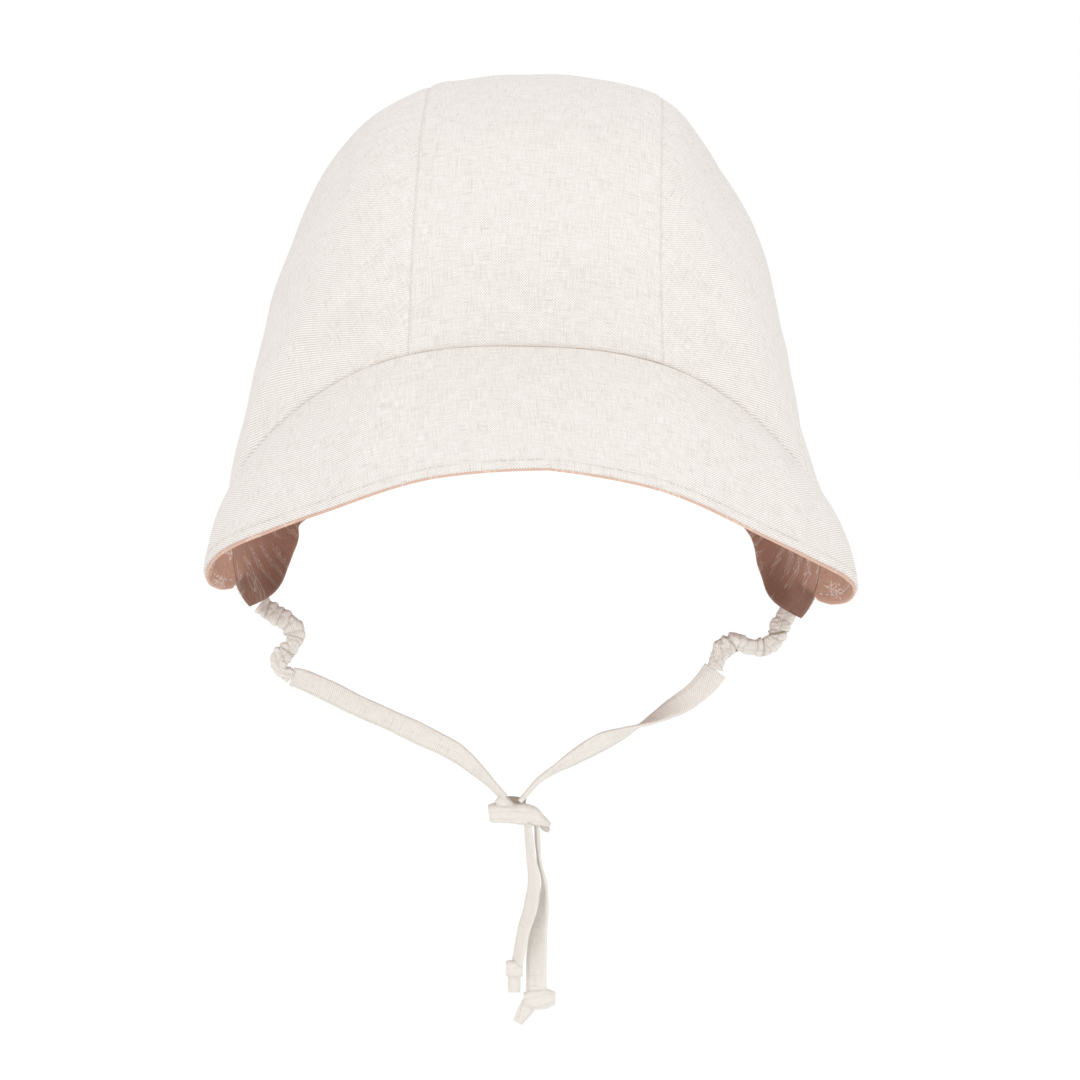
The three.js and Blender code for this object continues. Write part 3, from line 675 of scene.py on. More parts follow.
class Shader:
    """A material under construction."""

    def __init__(self, name: str) -> None:
        """Starts a material with its Principled shader."""
        self.material = bpy.data.materials.new(name)
        self.material.use_nodes = True
        self.tree = self.material.node_tree
        self.surface = self.tree.nodes["Principled BSDF"]

    def node(self, kind: str, settings: dict[str, Any], *values: Any, out: int | str = 0) -> Wire:
        """Adds a node.

        Args:
            kind: The node's type.
            settings: Its settings, made before its sockets are filled.
            values: What its sockets hold, in order: wires or plain values, or None to leave one alone.
            out: The wanted output socket.

        Returns:
            The wire of that output.
        """
        made = self.tree.nodes.new(kind)
        for name, value in settings.items():
            setattr(made, name, value)
        for i, value in enumerate(values):
            if isinstance(value, Wire):
                self.tree.links.new(value.socket, made.inputs[i])
            elif value is not None:
                made.inputs[i].default_value = value
        return Wire(self, made.outputs[out])

    def cloth_place(self) -> tuple[Wire, Wire]:
        """Where a point lies on the flat cloth, in millimetres."""
        made = self.tree.nodes.new("ShaderNodeUVMap")
        made.uv_map = "UVMap"
        place = Wire(self, made.outputs[0])
        u = self.node("ShaderNodeSeparateXYZ", {}, place, out=0)
        v = self.node("ShaderNodeSeparateXYZ", {}, place, out=1)
        return u * (1 / MM), v * (1 / MM)

    def place(self, axis: int) -> Wire:
        """Where a point lies in space on one axis, in millimetres."""
        made = self.node("ShaderNodeTexCoord", {}, out=3)
        return self.node("ShaderNodeSeparateXYZ", {}, made, out=axis) / MM

    def crease(self) -> Wire:
        """The painted shade at a point, from its attribute: darker in seams, folds and recesses, and below 0
        a painted highlight.
        """
        return self.node("ShaderNodeAttribute", {"attribute_name": "crease"}, out=2)

    def noise(self, x: Wire, y: Wire, detail: float = 2.0) -> Wire:
        """Smooth noise over a plane, from 0 to 1."""
        place = self.node("ShaderNodeCombineXYZ", {}, x, y, 0.0)
        return self.node("ShaderNodeTexNoise", {"noise_dimensions": "2D"}, place, None, 1.0, detail)

    def chance(self, x: Wire, y: Wire) -> Wire:
        """One random number for each whole place of a plane."""
        place = self.node("ShaderNodeCombineXYZ", {}, x, y, 0.0)
        return self.node("ShaderNodeTexWhiteNoise", {"noise_dimensions": "2D"}, place)

    def mix(self, share: Wire | float, first: Any, second: Any) -> Wire:
        """A blend of two colours."""
        made = self.tree.nodes.new("ShaderNodeMix")
        made.data_type = "RGBA"
        for socket, value in ((made.inputs[0], share), (made.inputs[6], first), (made.inputs[7], second)):
            if isinstance(value, Wire):
                self.tree.links.new(value.socket, socket)
            else:
                socket.default_value = value
        return Wire(self, made.outputs[2])

    def finish(
        self, colour: Any, height: Wire, depth: float, roughness: float, sheen: float
    ) -> bpy.types.Material:
        """Ties the colour and the relief to the shader.

        Args:
            colour: The base colour's wire.
            height: The relief, about 0 to 1.
            depth: What a relief of 1 stands for, in metres.
            roughness: The surface's roughness.
            sheen: The weight of its fuzz.

        Returns:
            The finished material.
        """
        self.tree.links.new(colour.socket, self.surface.inputs["Base Color"])
        self.surface.inputs["Roughness"].default_value = roughness
        self.surface.inputs["Sheen Weight"].default_value = sheen
        self.surface.inputs["Specular IOR Level"].default_value = 0.2
        made = self.tree.nodes.new("ShaderNodeBump")
        made.inputs["Strength"].default_value = 1.0
        made.inputs["Distance"].default_value = depth
        self.tree.links.new(height.socket, made.inputs["Height"])
        self.tree.links.new(made.outputs[0], self.surface.inputs["Normal"])
        return self.material


def rgba(red: float, green: float, blue: float) -> tuple[float, float, float, float]:
    """A colour given as it shows, 0 to 255, in the shader's linear values."""
    parts = [c / 255 for c in (red, green, blue)]
    linear = [c / 12.92 if c <= 0.04045 else ((c + 0.055) / 1.055) ** 2.4 for c in parts]
    return (linear[0], linear[1], linear[2], 1.0)


@dataclass(frozen=True)
class Linen:
    """Plain-woven linen with uneven threads and a few slubs, and painted shade in its seams, grooves and
    folds.

    The weave shows as a fine check in the middle of the bonnet and as a slanting line on its sides, which
    takes over between side_from and side_to. Lengths are millimetres on the cloth.
    """

    name: str
    pale: tuple[float, float, float, float] = rgba(235, 231, 227)
    shade: tuple[float, float, float, float] = rgba(209, 203, 197)
    # groove: the colour of the painted shade in seams, grooves and folds
    groove: tuple[float, float, float, float] = rgba(186, 170, 146)
    slub: tuple[float, float, float, float] = rgba(190, 180, 170)
    pitch: float = 0.5
    weave: float = 0.47
    contrast: float = 1.0
    lean: float = 1.0
    streak: float = 11.0
    side_from: float = 30.0
    side_to: float = 65.0
    side_strength: float = 0.8
    cloud_size: float = 11.0
    cloud_strength: float = 0.05
    thread_strength: float = 0.34
    hatch_strength: float = 0.36
    slub_width: float = 0.5
    slub_lengths: tuple[float, float] = (7.0, 9.0)
    slub_rarity: tuple[float, float] = (0.79, 0.8)
    slub_strength: float = 0.3
    relief_share: float = 0.35
    relief_depth: float = 0.12
    roughness: float = 0.9
    sheen: float = 0.05

    def material(self) -> bpy.types.Material:
        """Builds the shader."""
        shader = Shader(self.name)
        u, v = shader.cloth_place()
        warp = shader.noise(u / self.pitch, v / (self.pitch * self.streak))
        weft = shader.noise(u / (self.pitch * self.streak) + 31.7, v / self.pitch)
        turn = math.pi / self.weave
        plain = (u * turn).sine() * (v * turn).sine()
        x = shader.place(0)
        to_right = x.ramp(self.side_from, self.side_to)
        to_left = (x * -1.0).ramp(self.side_from, self.side_to)
        rising = ((u - v * self.lean) * turn).sine() * to_right * self.side_strength
        falling = ((u + v * self.lean) * turn).sine() * to_left * self.side_strength
        hatch = plain * (1.0 - to_right - to_left) + rising + falling
        cloud = shader.noise(u / self.cloud_size + 5.1, v / self.cloud_size)
        threads = (warp + weft - 1.0) * self.thread_strength
        threads = threads + hatch * self.hatch_strength * cloud.ramp(0.2, 0.55)
        threads = threads + (cloud - 0.5) * self.cloud_strength
        tone = threads * self.contrast + 0.5
        thread = shader.mix(tone.ramp(0.28, 0.72), self.shade, self.pale)
        slub_u, slub_v = self.slub_lengths
        rare_u, rare_v = self.slub_rarity
        along_u = shader.noise(u / slub_u + 90.0, v / self.slub_width, 0.0).above(rare_u)
        along_v = shader.noise(u / self.slub_width, v / slub_v + 40.0, 0.0).above(rare_v)
        flecked = shader.mix(along_u.most(along_v) * self.slub_strength, thread, self.slub)
        # painted shade: towards the groove colour where a point's painted shade is high
        colour = shader.mix(shader.crease(), flecked, self.groove)
        relief = (warp + weft) * self.relief_share + hatch * self.relief_share
        return shader.finish(colour, relief, self.relief_depth * MM, self.roughness, self.sheen)


@dataclass(frozen=True)
class PrintedLining:
    """Dusty terracotta cotton with a pale line print of small leafy sprigs, with painted shade in its seams
    and hollows and a painted highlight on the brim's rolled rim.

    Each sprig is a bent stem with pairs of outlined leaves and a round bud at its tip, turned by chance in
    its own cell of column by row. Lengths are millimetres on the cloth.
    """

    name: str
    ground: tuple[float, float, float, float] = rgba(197, 157, 140)
    ground_shade: tuple[float, float, float, float] = rgba(177, 135, 117)
    line: tuple[float, float, float, float] = rgba(224, 208, 196)
    # groove: the colour of the painted shade in seams and towards the free edges of the tie tabs
    groove: tuple[float, float, float, float] = rgba(92, 64, 56)
    # rim: the colour of a painted highlight, where the lining rolls past the brim's edge
    rim: tuple[float, float, float, float] = rgba(226, 196, 178)
    pitch: float = 0.6
    streak: float = 9.0
    column: float = 15.0
    row: float = 17.0
    turning: float = 5.0
    stem: float = 0.17
    stem_half: float = 4.6
    stem_bend: float = 0.04
    stem_aside: float = 0.4
    line_width: float = 0.2
    leaf_gap: float = 2.9
    leaf_share: float = 0.76
    leaf_slant: float = 0.85
    leaf_length: float = 3.7
    leaf_width: float = 0.85
    leaves_half: float = 3.6
    bud_at: float = 5.2
    bud_length: float = 1.9
    bud_width: float = 1.3
    relief_depth: float = 0.08
    roughness: float = 0.9
    sheen: float = 0.04

    def sprigs(self, shader: Shader, u: Wire, v: Wire) -> Wire:
        """Where the printed lines are: 1 on a line.

        Args:
            shader: The material.
            u: Place across the cloth, in millimetres.
            v: Place along it.

        Returns:
            The print's mask.
        """
        column = (u / self.column).floor()
        dropped = v + column * (self.row * 0.5)
        row = (dropped / self.row).floor()
        x = ((u / self.column).fraction() - 0.5) * self.column
        y = ((dropped / self.row).fraction() - 0.5) * self.row
        heading = (shader.chance(column, row) - 0.5) * self.turning
        along = x * heading.sine() + y * heading.cosine()
        bend = along * along * self.stem_bend - self.stem_aside
        aside = x * heading.cosine() - y * heading.sine() + bend
        away = abs(aside)
        stem = away.below(self.stem) * abs(along + 1.0).below(self.stem_half)
        rise = along - away * self.leaf_slant
        offset = ((rise / self.leaf_gap).fraction() - 0.5) * (self.leaf_gap * self.leaf_share)
        share = away / self.leaf_length
        width = (share * math.pi).sine() * self.leaf_width
        rim = abs(abs(offset) - width).below(self.line_width) * share.below(1.0)
        leaves = rim * abs(rise + 1.2).below(self.leaves_half)
        bud_x = aside / (self.leaf_width * self.bud_width)
        bud_y = (along - self.bud_at) / self.bud_length
        bud = abs((bud_x * bud_x + bud_y * bud_y) ** 0.5 - 1.0).below(self.line_width)
        return stem.most(leaves).most(bud)

    def material(self) -> bpy.types.Material:
        """Builds the shader."""
        shader = Shader(self.name)
        u, v = shader.cloth_place()
        warp = shader.noise(u / self.pitch, v / (self.pitch * self.streak))
        weft = shader.noise(u / (self.pitch * self.streak) + 11.3, v / self.pitch)
        turn = math.pi / self.pitch
        plain = (u * turn).sine() * (v * turn).sine()
        tone = (warp + weft) * 0.5 + plain * 0.1
        ground = shader.mix(tone.ramp(0.3, 0.7), self.ground_shade, self.ground)
        worn = self.sprigs(shader, u, v) * (0.45 + warp * 0.7)
        printed = shader.mix(worn, ground, self.line)
        # painted shade: towards the groove colour in seams and towards the tabs' free edges
        print_with_painted_shade = shader.mix(shader.crease(), printed, self.groove)
        # painted highlight: towards the rim colour where the painted shade is below 0, on the brim's rolled
        # rim
        colour = shader.mix((shader.crease() * -1.0).most(0.0), print_with_painted_shade, self.rim)
        relief = (warp + weft) * 0.5 + plain * 0.35
        return shader.finish(colour, relief, self.relief_depth * MM, self.roughness, self.sheen)


@dataclass(frozen=True)
class Thread:
    """Sewing thread of the topstitching."""

    name: str
    colour: tuple[float, float, float, float] = rgba(233, 229, 225)
    dark: tuple[float, float, float, float] = rgba(210, 204, 197)
    turns: tuple[float, float] = (9.0, 7.0)
    relief_depth: float = 0.03
    roughness: float = 0.75

    def material(self) -> bpy.types.Material:
        """Builds the shader: two plies that wind round each other."""
        shader = Shader(self.name)
        wound = shader.place(0) * self.turns[0] + shader.place(2) * self.turns[1]
        ply = (wound.sine() + 1.0) * 0.5
        colour = shader.mix(ply, self.dark, self.colour)
        return shader.finish(colour, ply, self.relief_depth * MM, self.roughness, 0.0)


@dataclass(frozen=True)
class Backdrop:
    """The studio's pale, matt floor and wall."""

    name: str
    colour: tuple[float, float, float, float] = rgba(252, 252, 252)
    shade: tuple[float, float, float, float] = rgba(240, 240, 240)
    grain_size: float = 25.0
    grain_strength: float = 0.02
    grain_depth: float = 0.01

    def material(self) -> bpy.types.Material:
        """Builds the shader, with a grain too faint to see."""
        shader = Shader(self.name)
        grain = shader.noise(shader.place(0) / self.grain_size, shader.place(1) / self.grain_size)
        tone = shader.mix(grain * self.grain_strength, self.colour, self.shade)
        return shader.finish(tone, grain, self.grain_depth * MM, 1.0, 0.0)


class Bench:
    """The few moves that turn forms into meshes, by Blender's own operators."""

    @staticmethod
    def grid(name: str, rows: int, columns: int) -> tuple[bpy.types.Object, np.ndarray, np.ndarray]:
        """Adds a flat grid.

        Args:
            name: The object's name.
            rows: Points along Y.
            columns: Points along X.

        Returns:
            The object, and the row and the column of each of its points.
        """
        bpy.ops.object.select_all(action="DESELECT")
        bpy.ops.mesh.primitive_grid_add(x_subdivisions=columns - 1, y_subdivisions=rows - 1, size=2)
        made = bpy.context.object
        made.name = name
        flat = np.empty(len(made.data.vertices) * 3)
        made.data.vertices.foreach_get("co", flat)
        flat = flat.reshape(-1, 3)
        column = np.rint((flat[:, 0] + 1) / 2 * (columns - 1)).astype(int)
        row = np.rint((flat[:, 1] + 1) / 2 * (rows - 1)).astype(int)
        return made, row, column

    @staticmethod
    def place(made: bpy.types.Object, points: np.ndarray) -> None:
        """Puts a mesh's points where the form has them, in millimetres."""
        made.data.vertices.foreach_set("co", (points * MM).astype(np.float32).ravel())
        made.data.update()

    @staticmethod
    def lay_cloth(made: bpy.types.Object, cloth: np.ndarray) -> None:
        """Gives each corner its place on the flat cloth, in metres."""
        corners = np.empty(len(made.data.loops), np.int32)
        made.data.loops.foreach_get("vertex_index", corners)
        places = (cloth[corners] * MM).astype(np.float32)
        made.data.uv_layers["UVMap"].data.foreach_set("uv", places.ravel())

    @staticmethod
    def keep_painted_shade(made: bpy.types.Object, depth: np.ndarray) -> None:
        """Keeps each point's painted shade in a point attribute."""
        attribute = made.data.attributes.new("crease", "FLOAT", "POINT")
        attribute.data.foreach_set("value", depth.astype(np.float32))

    @staticmethod
    def apply(made: bpy.types.Object, kind: str, **settings: Any) -> None:
        """Adds a modifier and applies it."""
        bpy.context.view_layer.objects.active = made
        modifier = made.modifiers.new(kind.title(), kind)
        for name, value in settings.items():
            setattr(modifier, name, value)
        bpy.ops.object.modifier_apply(modifier=modifier.name)

    @classmethod
    def wall(
        cls,
        name: str,
        outside: np.ndarray,
        inside: np.ndarray,
        cloth: np.ndarray,
        crease: np.ndarray,
    ) -> bpy.types.Object:
        """A closed wall of cloth between two skins.

        Args:
            name: The piece's name.
            outside: Grid of points of the skin that faces out.
            inside: The same grid on the other skin.
            cloth: Each point's place on the flat cloth.
            crease: How much shade is painted at each point, most in its seams.

        Returns:
            The piece.
        """
        rows, columns = outside.shape[:2]
        made, row, column = cls.grid(name, rows, columns)
        cls.place(made, outside[row, column])
        cls.lay_cloth(made, cloth[row, column])
        cls.keep_painted_shade(made, crease[row, column])
        cls.apply(made, "SOLIDIFY", thickness=OUTER_WALL * MM, offset=-1.0)
        both = np.concatenate([outside[row, column], inside[row, column]])
        cls.place(made, both)
        cls.soften(made, SMOOTH_BELOW)
        return made

    @classmethod
    def tube(cls, name: str, rings: np.ndarray, cloth: np.ndarray, crease: np.ndarray) -> bpy.types.Object:
        """A closed band through rings of points, whose last point repeats the first.

        Args:
            name: The piece's name.
            rings: The rings' points.
            cloth: Each point's place on the flat cloth.
            crease: How much shade is painted at each point, most in its folds.

        Returns:
            The piece.
        """
        rows, columns = rings.shape[:2]
        made, row, column = cls.grid(name, rows, columns)
        cls.place(made, rings[row, column])
        cls.lay_cloth(made, cloth[row, column])
        cls.keep_painted_shade(made, crease[row, column])
        bpy.ops.object.mode_set(mode="EDIT")
        bpy.ops.mesh.select_all(action="SELECT")
        bpy.ops.mesh.remove_doubles(threshold=1e-6)
        bpy.ops.mesh.select_all(action="SELECT")
        bpy.ops.mesh.fill_holes(sides=0)
        bpy.ops.mesh.select_all(action="SELECT")
        bpy.ops.mesh.normals_make_consistent(inside=False)
        bpy.ops.object.mode_set(mode="OBJECT")
        cls.soften(made, 60.0)
        return made

    @staticmethod
    def soften(made: bpy.types.Object, sharp: float) -> None:
        """Shades a piece smooth, but for edges sharper than an angle in degrees."""
        bpy.ops.object.select_all(action="DESELECT")
        made.select_set(True)
        bpy.context.view_layer.objects.active = made
        bpy.ops.object.shade_smooth_by_angle(angle=math.radians(sharp))

    @staticmethod
    def join(name: str, pieces: Sequence[bpy.types.Object]) -> bpy.types.Object:
        """Several pieces as one object."""
        bpy.ops.object.select_all(action="DESELECT")
        for piece in pieces:
            piece.select_set(True)
        bpy.context.view_layer.objects.active = pieces[0]
        bpy.ops.object.join()
        pieces[0].name = name
        return pieces[0]


def dress(
    piece: bpy.types.Object,
    material: bpy.types.Material,
    nodes: Sequence[str] = (),
) -> bpy.types.Object:
    """Gives a piece its finish and ties it to the frame.

    Args:
        piece: The finished piece.
        material: Its finish.
        nodes: The solids that it stands for.

    Returns:
        The piece.
    """
    piece.data.materials.clear()
    piece.data.materials.append(material)
    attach(piece, "root")
    if nodes:
        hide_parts(*nodes)
    LOG.info("%s: %d faces", piece.name, len(piece.data.polygons))
    return piece


def declare_cloth(piece: bpy.types.Object) -> None:
    """Reads a piece's places on the flat cloth from its UV map, and does nothing further with them.

    Args:
        piece: A cloth wall whose places on the flat cloth are in its UV map.
    """
    cloth = piece.data.uv_layers["UVMap"].data
    places = np.empty(len(cloth) * 2)
    cloth.foreach_get("uv", places)


def seam_shade(seam: np.ndarray, away: np.ndarray) -> np.ndarray:
    """The painted shade in the face seam's groove: most to the right of the middle, and less towards its
    ends.

    Args:
        seam: The seam's points, in millimetres.
        away: Distances from the seam.

    Returns:
        The painted shade at each place.
    """
    x = seam[..., 0]
    strength = 0.24 + 0.35 * bell(x - 28, 28) + 0.12 * ripple(x, x * 0, 9, 19)
    return np.clip(strength, 0.1, 0.9) * bell(away, 0.19)


@dataclass
class Crown:
    """The crown: three linen panels, and the same three in printed lining."""

    form: CrownForm
    brim: BrimForm
    rows: int = 190
    columns: int = 110
    lining_rows: int = 110
    lining_columns: int = 60
    seam_allowance: float = 7.0
    face_allowance: float = 5.5
    allowance_fade: float = 2.5
    allowance_rise: float = 0.3
    pucker_height: float = 0.12
    sway: float = 0.3
    # painted shade along the panel seams, and how far it reaches
    seam_shade: float = 0.2
    seam_shade_reach: float = 0.25
    lining_sway: float = 0.25
    grain: dict[Side, float] = field(
        default_factory=lambda: {Side.LEFT: -0.45, Side.CENTRE: 0.0, Side.RIGHT: 0.45}
    )

    def shares(self, side: Side, along: np.ndarray, columns: int) -> np.ndarray:
        """Where a panel's points stand across each arch.

        Args:
            side: The panel.
            along: The rows' shares along the crown.
            columns: Spaces between the points of a row.

        Returns:
            A row of shares for each arch.
        """

        def seam(end: int, column: str) -> np.ndarray:
            lengths = np.array([self.form.length(float(a), end) for a in along])
            return end * column_at(ARCHES, column, along) * PANEL_WIDTH / lengths

        low = np.full(len(along), -1.0) if side is Side.LEFT else None
        high = np.full(len(along), 1.0) if side is Side.RIGHT else None
        if low is None:
            low = seam(-1, "seam_left") if side is Side.CENTRE else seam(1, "seam_right")
        if high is None:
            high = seam(1, "seam_right") if side is Side.CENTRE else seam(-1, "seam_left")
        spread = ends_first(columns, 0.85)
        return low[:, None] + (high - low)[:, None] * spread[None]

    def panel(self, side: Side, rows: int, columns: int) -> dict[str, np.ndarray]:
        """A panel's outside before its relief.

        Args:
            side: The panel.
            rows: Spaces along the crown.
            columns: Spaces across it.

        Returns:
            Its points and directions, its place on the flat cloth, and its distance from each edge.
        """
        along = ends_first(rows, 0.8)
        across = self.shares(side, along, columns)
        square = self.form.normals(along, across)
        points = self.form.plain(along, across) - square * self.form.dents(along[:, None], across)[..., None]
        walked_u = running_length(points, 1)
        walked_v = running_length(points, 0)
        front = self.brim.front_normals(across[0])
        turn = (1 - smooth_step(0, SEAM_TURN, walked_v))[..., None]
        on_tab = np.abs(across) > np.where(across < 0, self.brim.end(-1), self.brim.end(1))
        seam_share = {Side.LEFT: 1.0, Side.CENTRE: 0.5, Side.RIGHT: 0.0}[side]
        return {
            "points": points,
            "square": unit(square * (1 - turn) + front[None] * turn),
            "u": walked_u - walked_u[:, -1:] * seam_share,
            "v": walked_v,
            "left": walked_u,
            "right": walked_u[:, -1:] - walked_u,
            "front": walked_v,
            "back": walked_v[-1:] - walked_v,
            "tab": on_tab.astype(float),
        }

    def allowance(self, away: np.ndarray, width: float) -> np.ndarray:
        """How far the turned seam allowance under the cloth lifts it beside a seam."""
        fade = 1 - smooth_step(width, width + self.allowance_fade, away)
        return self.allowance_rise * smooth_step(0.3, 1.2, away) * fade

    def seams(self, side: Side) -> tuple[str, ...]:
        """The edges of a panel that are sewn to another panel."""
        return {Side.LEFT: ("right",), Side.CENTRE: ("left", "right"), Side.RIGHT: ("left",)}[side]

    def hems(self, side: Side) -> tuple[str, ...]:
        """The edges of a panel that end free."""
        return {Side.LEFT: ("left", "back"), Side.CENTRE: ("back",), Side.RIGHT: ("right", "back")}[side]

    def relief(self, side: Side, sheet: dict[str, np.ndarray]) -> tuple[np.ndarray, np.ndarray]:
        """A panel's seams, turned edges, puckers and soft waves.

        Args:
            side: The panel.
            sheet: What panel() gave.

        Returns:
            How far each point stands out, in millimetres, and how much shade is painted in its seams.
        """
        u, v = sheet["u"], sheet["v"]
        sewn = {name: sheet[name] for name in self.seams(side)}
        height = self.sway * ripple(u, v, 26, 11 + side.value)
        height = height * smooth_step(0, 12, sheet["front"])
        crease = np.zeros_like(u)
        for name, away in sewn.items():
            height = height * smooth_step(0, 5, away)
            height -= SEAM_DIP * bell(away, SEAM_REACH)
            height += pucker(v, away, self.pucker_height, 7, 31 + len(name))
            # painted shade along each panel seam
            crease = np.maximum(crease, self.seam_shade * bell(away, self.seam_shade_reach))
            if side is Side.CENTRE:
                height += self.allowance(away, self.seam_allowance)
        away = sheet["front"] + sheet["tab"] * PAST_THE_SEAM
        height -= SEAM_DIP * bell(away, SEAM_REACH)
        height += self.allowance(away, self.face_allowance)
        height += pucker(u, away, self.pucker_height, 6, 5 + side.value)
        # painted shade in the face seam's groove
        crease = np.maximum(crease, seam_shade(sheet["points"][:1], away))
        for name in self.hems(side):
            height -= turned_edge(sheet[name], FOLD_RADIUS)
        height -= turned_edge(sheet["front"], FOLD_RADIUS) * sheet["tab"]
        return height, crease

    def cloth(self, side: Side, sheet: dict[str, np.ndarray]) -> np.ndarray:
        """Where each point lies on the flat cloth, with the panel's grain."""
        turn = self.grain[side]
        u, v = sheet["u"], sheet["v"]
        turned_u = u * math.cos(turn) - v * math.sin(turn)
        turned_v = u * math.sin(turn) + v * math.cos(turn)
        return np.stack([turned_u, turned_v], axis=-1)

    def outer(self, side: Side, name: str) -> bpy.types.Object:
        """Builds a linen panel."""
        sheet = self.panel(side, self.rows, self.columns)
        height, crease = self.relief(side, sheet)
        outside = sheet["points"] + sheet["square"] * height[..., None]
        inside = sheet["points"] - sheet["square"] * OUTER_WALL
        return Bench.wall(name, outside, inside, self.cloth(side, sheet), crease)

    def lining(self, side: Side, name: str) -> bpy.types.Object:
        """Builds a panel of the lining, drawn to the linen at its free edges, with painted shade in its seams
        and near its free edges on the tie tabs.
        """
        sheet = self.panel(side, self.lining_rows, self.lining_columns)
        free = np.minimum.reduce([sheet[name] for name in self.hems(side)])
        free = np.where(sheet["tab"] > 0, np.minimum(free, sheet["front"]), free)
        back = OUTER_WALL + LAYER_GAP * smooth_step(0, 3, free)
        face_seam = sheet["front"] + sheet["tab"] * PAST_THE_SEAM
        sewn = np.minimum.reduce([sheet[name] for name in self.seams(side)] + [face_seam])
        dip = LINING_SEAM_DIP * bell(sewn, SEAM_REACH)
        dip += np.minimum(turned_edge(free, FOLD_RADIUS), LINING_WALL * 0.9)
        soft = self.lining_sway * ripple(sheet["u"], sheet["v"], 21, 71 + side.value)
        soft *= smooth_step(0, 6, np.minimum(sewn, free))
        outside = sheet["points"] - sheet["square"] * back[..., None]
        thick = back + LINING_WALL - dip + np.maximum(soft, -0.2)
        inside = sheet["points"] - sheet["square"] * thick[..., None]
        # painted shade: in the seams, and darker near the free edges on the tie tabs
        crease = LINING_SEAM_SHADE * bell(sewn, LINING_SHADE_REACH)
        tab_painted_shade = 1 - smooth_step(0, TAB_SHADE_ACROSS, free)
        tab_painted_shade *= 1 - smooth_step(0, TAB_SHADE_BACK, sheet["front"])
        crease = np.maximum(crease, TAB_SHADE * tab_painted_shade)
        return Bench.wall(name, outside, inside, self.cloth(Side.CENTRE, sheet), crease)


